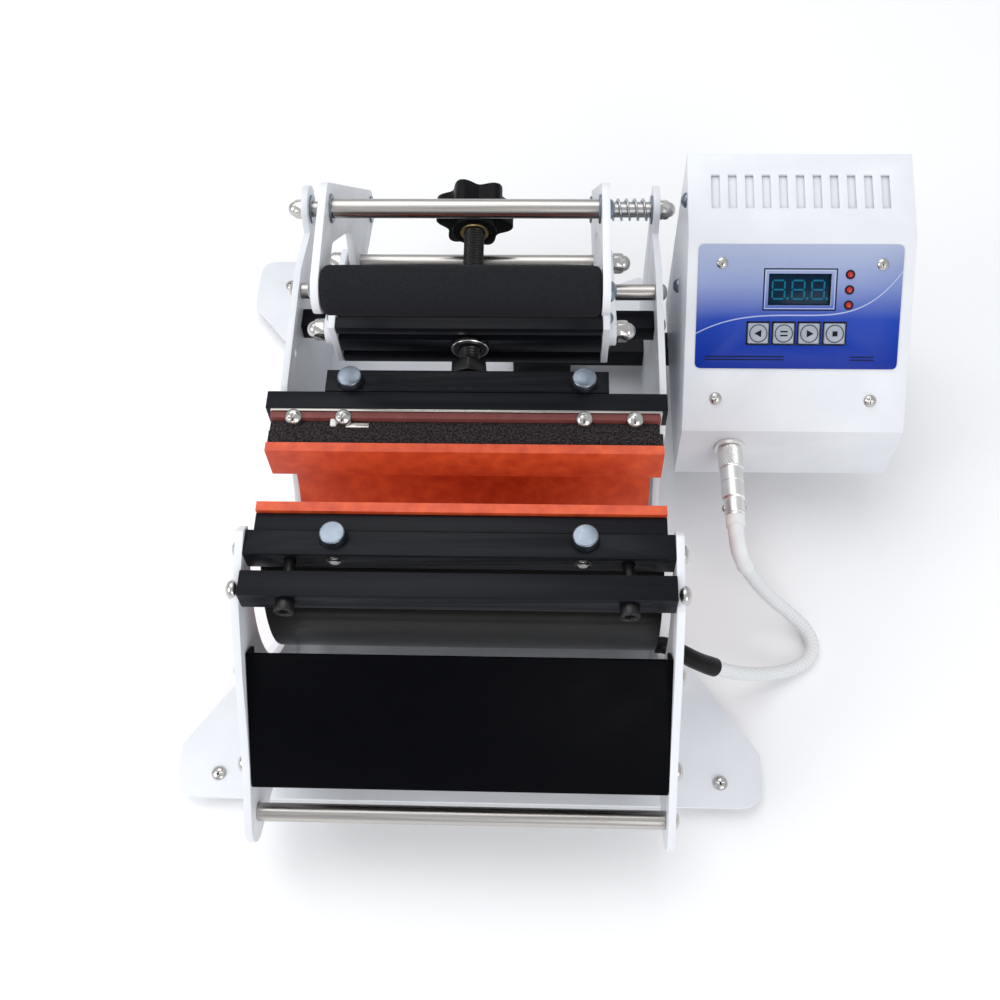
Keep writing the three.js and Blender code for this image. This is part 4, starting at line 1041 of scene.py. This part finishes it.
first, second, third, fourth = KEY_PLACES
two_bars = [
    bar_outline(second - 2.2, KEY_DOWN + down, second + 2.2, KEY_DOWN + down + 0.9) for down in (-1.6, 0.7)]
small_square = bar_outline(fourth - 1.5, KEY_DOWN - 1.5, fourth + 1.5, KEY_DOWN + 1.5)
signs = ([triangle_sign(first, -1)], two_bars, [triangle_sign(third, 1)], [small_square])
button_profile = [(0, 0), (0, 4.9), (0.45, 4.6), (0.7, 3.8), (BUTTON_RISE, 0)]
button_rim_profile = [(0, 4.95), (0, 5.35), (0.25, 5.35), (0.25, 4.95)]
for number, (across, sign_outlines) in enumerate(zip(KEY_PLACES, signs), start=1):
    key = "key_%d" % number
    broken_edges(key, 0.8, key_plastic, segments=3)
    button = (on_face(across, KEY_DOWN, KEY_TOP - 0.05), face_out, button_profile)
    turned(key + "_button", [button], key_plastic, key)
    rim = (on_face(across, KEY_DOWN, KEY_TOP - 0.1), face_out, button_rim_profile)
    turned(key + "_rim", [rim], dark_print, key)
    lift = KEY_TOP + BUTTON_RISE - 0.06
    face_marks(key + "_sign", sign_outlines, dark_print, lift, 0.08, key)

# Switch: a black rocker in a housing on the box's right side. The mains inlet at the back and the relay
# inside are of the same plastic.
switch_plastic = Finish("switch_plastic", (0.012, 0.012, 0.014), 0.3)
switch_plastic.rough(switch_plastic.grain(300), 0.22, 0.4)
for name, edge in (("switch_housing", 0.5), ("rocker", 0.4), ("mains_inlet", 0.4), ("relay", 0.4)):
    broken_edges(name, edge, switch_plastic)

# Socket and plug: a nickel plated round plug with a knurled coupling ring, a slim barrel and a cable clamp
# with two screws, on a socket in the box's front.
nickel = Finish("nickel_plate", (0.7, 0.68, 0.64), 0.28, 1.0)
nickel.tint(nickel.grain(60), (0.82, 0.81, 0.79), (0.86, 0.85, 0.83))
nickel.rough(nickel.grain(120), 0.33, 0.37)
broken_edges("lead_socket", 0.4, nickel)
SOCKET_X, SOCKET_HEIGHT = 157.0, 57.0
RING_FRONT, RING_BACK, RING_STEP = 2.5, 15.7, 0.4
KNURLS, KNURL_SLANT, KNURL_DEPTH = 28, 2.2, 0.06
clamp_profile = [(-32.3, 0), (-32.3, 4.8), (-31.9, 5.2), (-29.6, 5.4), (-29.2, 6.0), (-21, 6.2)]
neck_profile = [(-20.6, 5.8), (-19.5, 5.8), (-19.1, 6.5), (-18.6, 6.9)]
barrel_profile = [(-8.3, 6.95), (-8.1, 6.7), (-7.6, 6.7), (-7.4, 6.95), (1.6, 7.0), (2.0, 7.5)]
ring_steps = round((RING_BACK - RING_FRONT) / RING_STEP)
knurled_profile = [(RING_FRONT + RING_STEP * step, 7.65) for step in range(ring_steps + 1)]
plug_profile = clamp_profile + neck_profile + barrel_profile + knurled_profile
plug_profile += [(16.3, 7.4), (16.6, 7.1), (16.6, 0)]


def knurl(distance, angle, radius):
    if not RING_FRONT + 0.3 < distance < RING_BACK - 0.3:
        return 1
    return 1 - KNURL_DEPTH * (0.5 - 0.5 * math.cos(KNURLS * angle + KNURL_SLANT * distance))


plug_start = place(SOCKET_X, 0, SOCKET_HEIGHT)
into_box = (0, 1, 0)
plug_part = (plug_start, into_box, plug_profile)
plug = turned("plug", [plug_part], nickel, "frame", ["lead_plug"], sides=140, ripple=knurl)
clamp_heads = [(plug_start + Vector((sign * 6.1, -25, 0)) / 1000, (sign, 0, 0)) for sign in (-1, 1)]
clamp_screws = screws("plug_clamp_screws", clamp_heads, 2.1, 1.4, bright, "frame")

# Heater lead: silicone wires in a braided white fibreglass sleeve, pushed into black heat-shrink where it
# enters the heater's right end and into a smooth white sleeve and a cuff at the plug. The route is measured
# from the plug over the bench to the heater.
lead_sleeve = Finish("lead_sleeve", (0.74, 0.75, 0.74), 0.6)
BRAID_STRANDS, BRAID_CROSSINGS = 20, 48
tube_map = lead_sleeve.tree.nodes.new("ShaderNodeUVMap")
tube_map.uv_map = "along_tube"
split = add_node(lead_sleeve.tree, "ShaderNodeSeparateXYZ", {"Vector": tube_map.outputs["UV"]})


def strands(slant):
    """One set of the braid's strands, as bright bands that wind round the tube one way."""
    around = lead_sleeve.worked_out("MULTIPLY", split.outputs["X"], 2 * math.pi * BRAID_STRANDS)
    along = lead_sleeve.worked_out("MULTIPLY", split.outputs["Y"], 2 * math.pi * slant * BRAID_CROSSINGS)
    return lead_sleeve.worked_out("SINE", lead_sleeve.worked_out("ADD", around, along))


braid = lead_sleeve.worked_out("MAXIMUM", strands(1), strands(-1))
lead_sleeve.tint(braid, (0.68, 0.69, 0.7), (0.86, 0.87, 0.88), 0.0)
lead_sleeve.rough(lead_sleeve.grain(700, detail=5), 0.5, 0.7, 0.7)
lead_sleeve.bump(braid, 0.5, 0.0003)
shrink = Finish("heat_shrink", (0.003, 0.003, 0.0035), 0.35, specular=0.16)
shrink.rough(shrink.grain(180, detail=5), 0.26, 0.46)
shrink.bump(shrink.grain(180, detail=4), 0.15, 0.0004)
smooth_white = Finish("bushing_white", (0.8, 0.81, 0.81), 0.5)
smooth_white.tint(smooth_white.grain(90), (0.77, 0.78, 0.79), (0.84, 0.85, 0.85))
smooth_white.rough(smooth_white.grain(300), 0.42, 0.58)

LEAD_RADIUS = 4.25
LEAD_ROUTE = [
    (0.157, -0.0323, 0.057), (0.157, -0.042, 0.0565), (0.1595, -0.051, 0.049), (0.1675, -0.056, 0.033),
    (0.181, -0.062, 0.0155), (0.196, -0.069, 0.003), (0.2055, -0.076, -0.0032), (0.2095, -0.085, -0.006),
    (0.206, -0.0945, -0.0066), (0.196, -0.1015, -0.0054), (0.182, -0.107, 0.0), (0.164, -0.1125, 0.012),
    (0.146, -0.116, 0.028), (0.130, -0.117, 0.043), (0.1195, -0.1152, 0.0515), (0.1115, -0.1134, 0.055),
    (0.1062, -0.1134, 0.055),
]


def smooth_route(knots, steps):
    """A centripetal Catmull-Rom curve through the knots, as a flexible lead bends."""
    first = knots[0] * 2 - knots[1]
    last = knots[-1] * 2 - knots[-2]
    padded = [first] + knots + [last]
    line = []
    for index in range(len(knots) - 1):
        before, start, end, after = padded[index:index + 4]
        times = [0.0]
        for one, two in ((before, start), (start, end), (end, after)):
            times.append(times[-1] + math.sqrt((two - one).length))
        for step in range(steps):
            time = times[1] + (times[2] - times[1]) * step / steps
            near = before.lerp(start, (time - times[0]) / (times[1] - times[0]))
            middle = start.lerp(end, (time - times[1]) / (times[2] - times[1]))
            far = end.lerp(after, (time - times[2]) / (times[3] - times[2]))
            inner = near.lerp(middle, (time - times[0]) / (times[2] - times[0]))
            outer = middle.lerp(far, (time - times[1]) / (times[3] - times[1]))
            line.append(inner.lerp(outer, (time - times[1]) / (times[2] - times[1])))
    return line + [knots[-1]]


def even_line(line, spacing):
    """The same line with points at an even distance."""
    spaced = [line[0]]
    carry = 0.0
    for start, end in zip(line, line[1:]):
        length = (end - start).length
        while carry + length >= spacing:
            start = start.lerp(end, (spacing - carry) / length)
            length = (end - start).length
            spaced.append(start)
            carry = 0.0
        carry += length
    return spaced + [line[-1]]


SPACING = 0.0004
lead_line = smooth_route([press_origin + Vector(at) for at in LEAD_ROUTE], 24)
lead_even = even_line(lead_line, SPACING)
lead_length = sum((end - start).length for start, end in zip(lead_line, lead_line[1:]))
WEAVE_PITCH, WEAVE_DEPTH = 0.0024, 0.16
SHRINK_LENGTH, SHRINK_RADIUS = 0.046, 5.6
SMOOTH_LENGTH, SMOOTH_RADIUS = 0.036, 4.75


def woven(share):
    """The braid draws in a little at each crossing of its strands."""
    return LEAD_RADIUS - WEAVE_DEPTH * (0.5 + 0.5 * math.cos(2 * math.pi * share * lead_length / WEAVE_PITCH))


def shrunk(share):
    """The heat-shrink is widest at its cut end and draws in towards the heater."""
    return SHRINK_RADIUS - 0.9 * share + 0.05 * math.sin(17 * share)


def smooth_end(share):
    """The smooth sleeve by the plug is even, with a rolled band near its end."""
    return SMOOTH_RADIUS + 0.35 * math.exp(-((share - 0.93) / 0.035) ** 2)


lead_mesh = tube_mesh("heater_lead_sleeve", lead_even, woven, 20)
lead = piece_from("heater_lead_sleeve", lead_mesh, lead_sleeve, "frame", ["heater_lead"])
shrink_line = lead_even[-round(SHRINK_LENGTH / SPACING):]
shrink_mesh = tube_mesh("lead_heat_shrink", shrink_line, shrunk, 24)
shrink_piece = piece_from("lead_heat_shrink", shrink_mesh, shrink, "frame")
smooth_line = lead_even[:round(SMOOTH_LENGTH / SPACING)]
smooth_mesh = tube_mesh("lead_smooth_sleeve", smooth_line, smooth_end, 24)
smooth_piece = piece_from("lead_smooth_sleeve", smooth_mesh, smooth_white, "frame")
cuff_profile = [(-37.5, 4.35), (-37.5, 5.3), (-36.8, 5.7), (-31, 5.7), (-31, 4.35)]
cuff_part = (plug_start, into_box, cuff_profile)
bushing = turned("lead_bushing", [cuff_part], smooth_white, "frame")
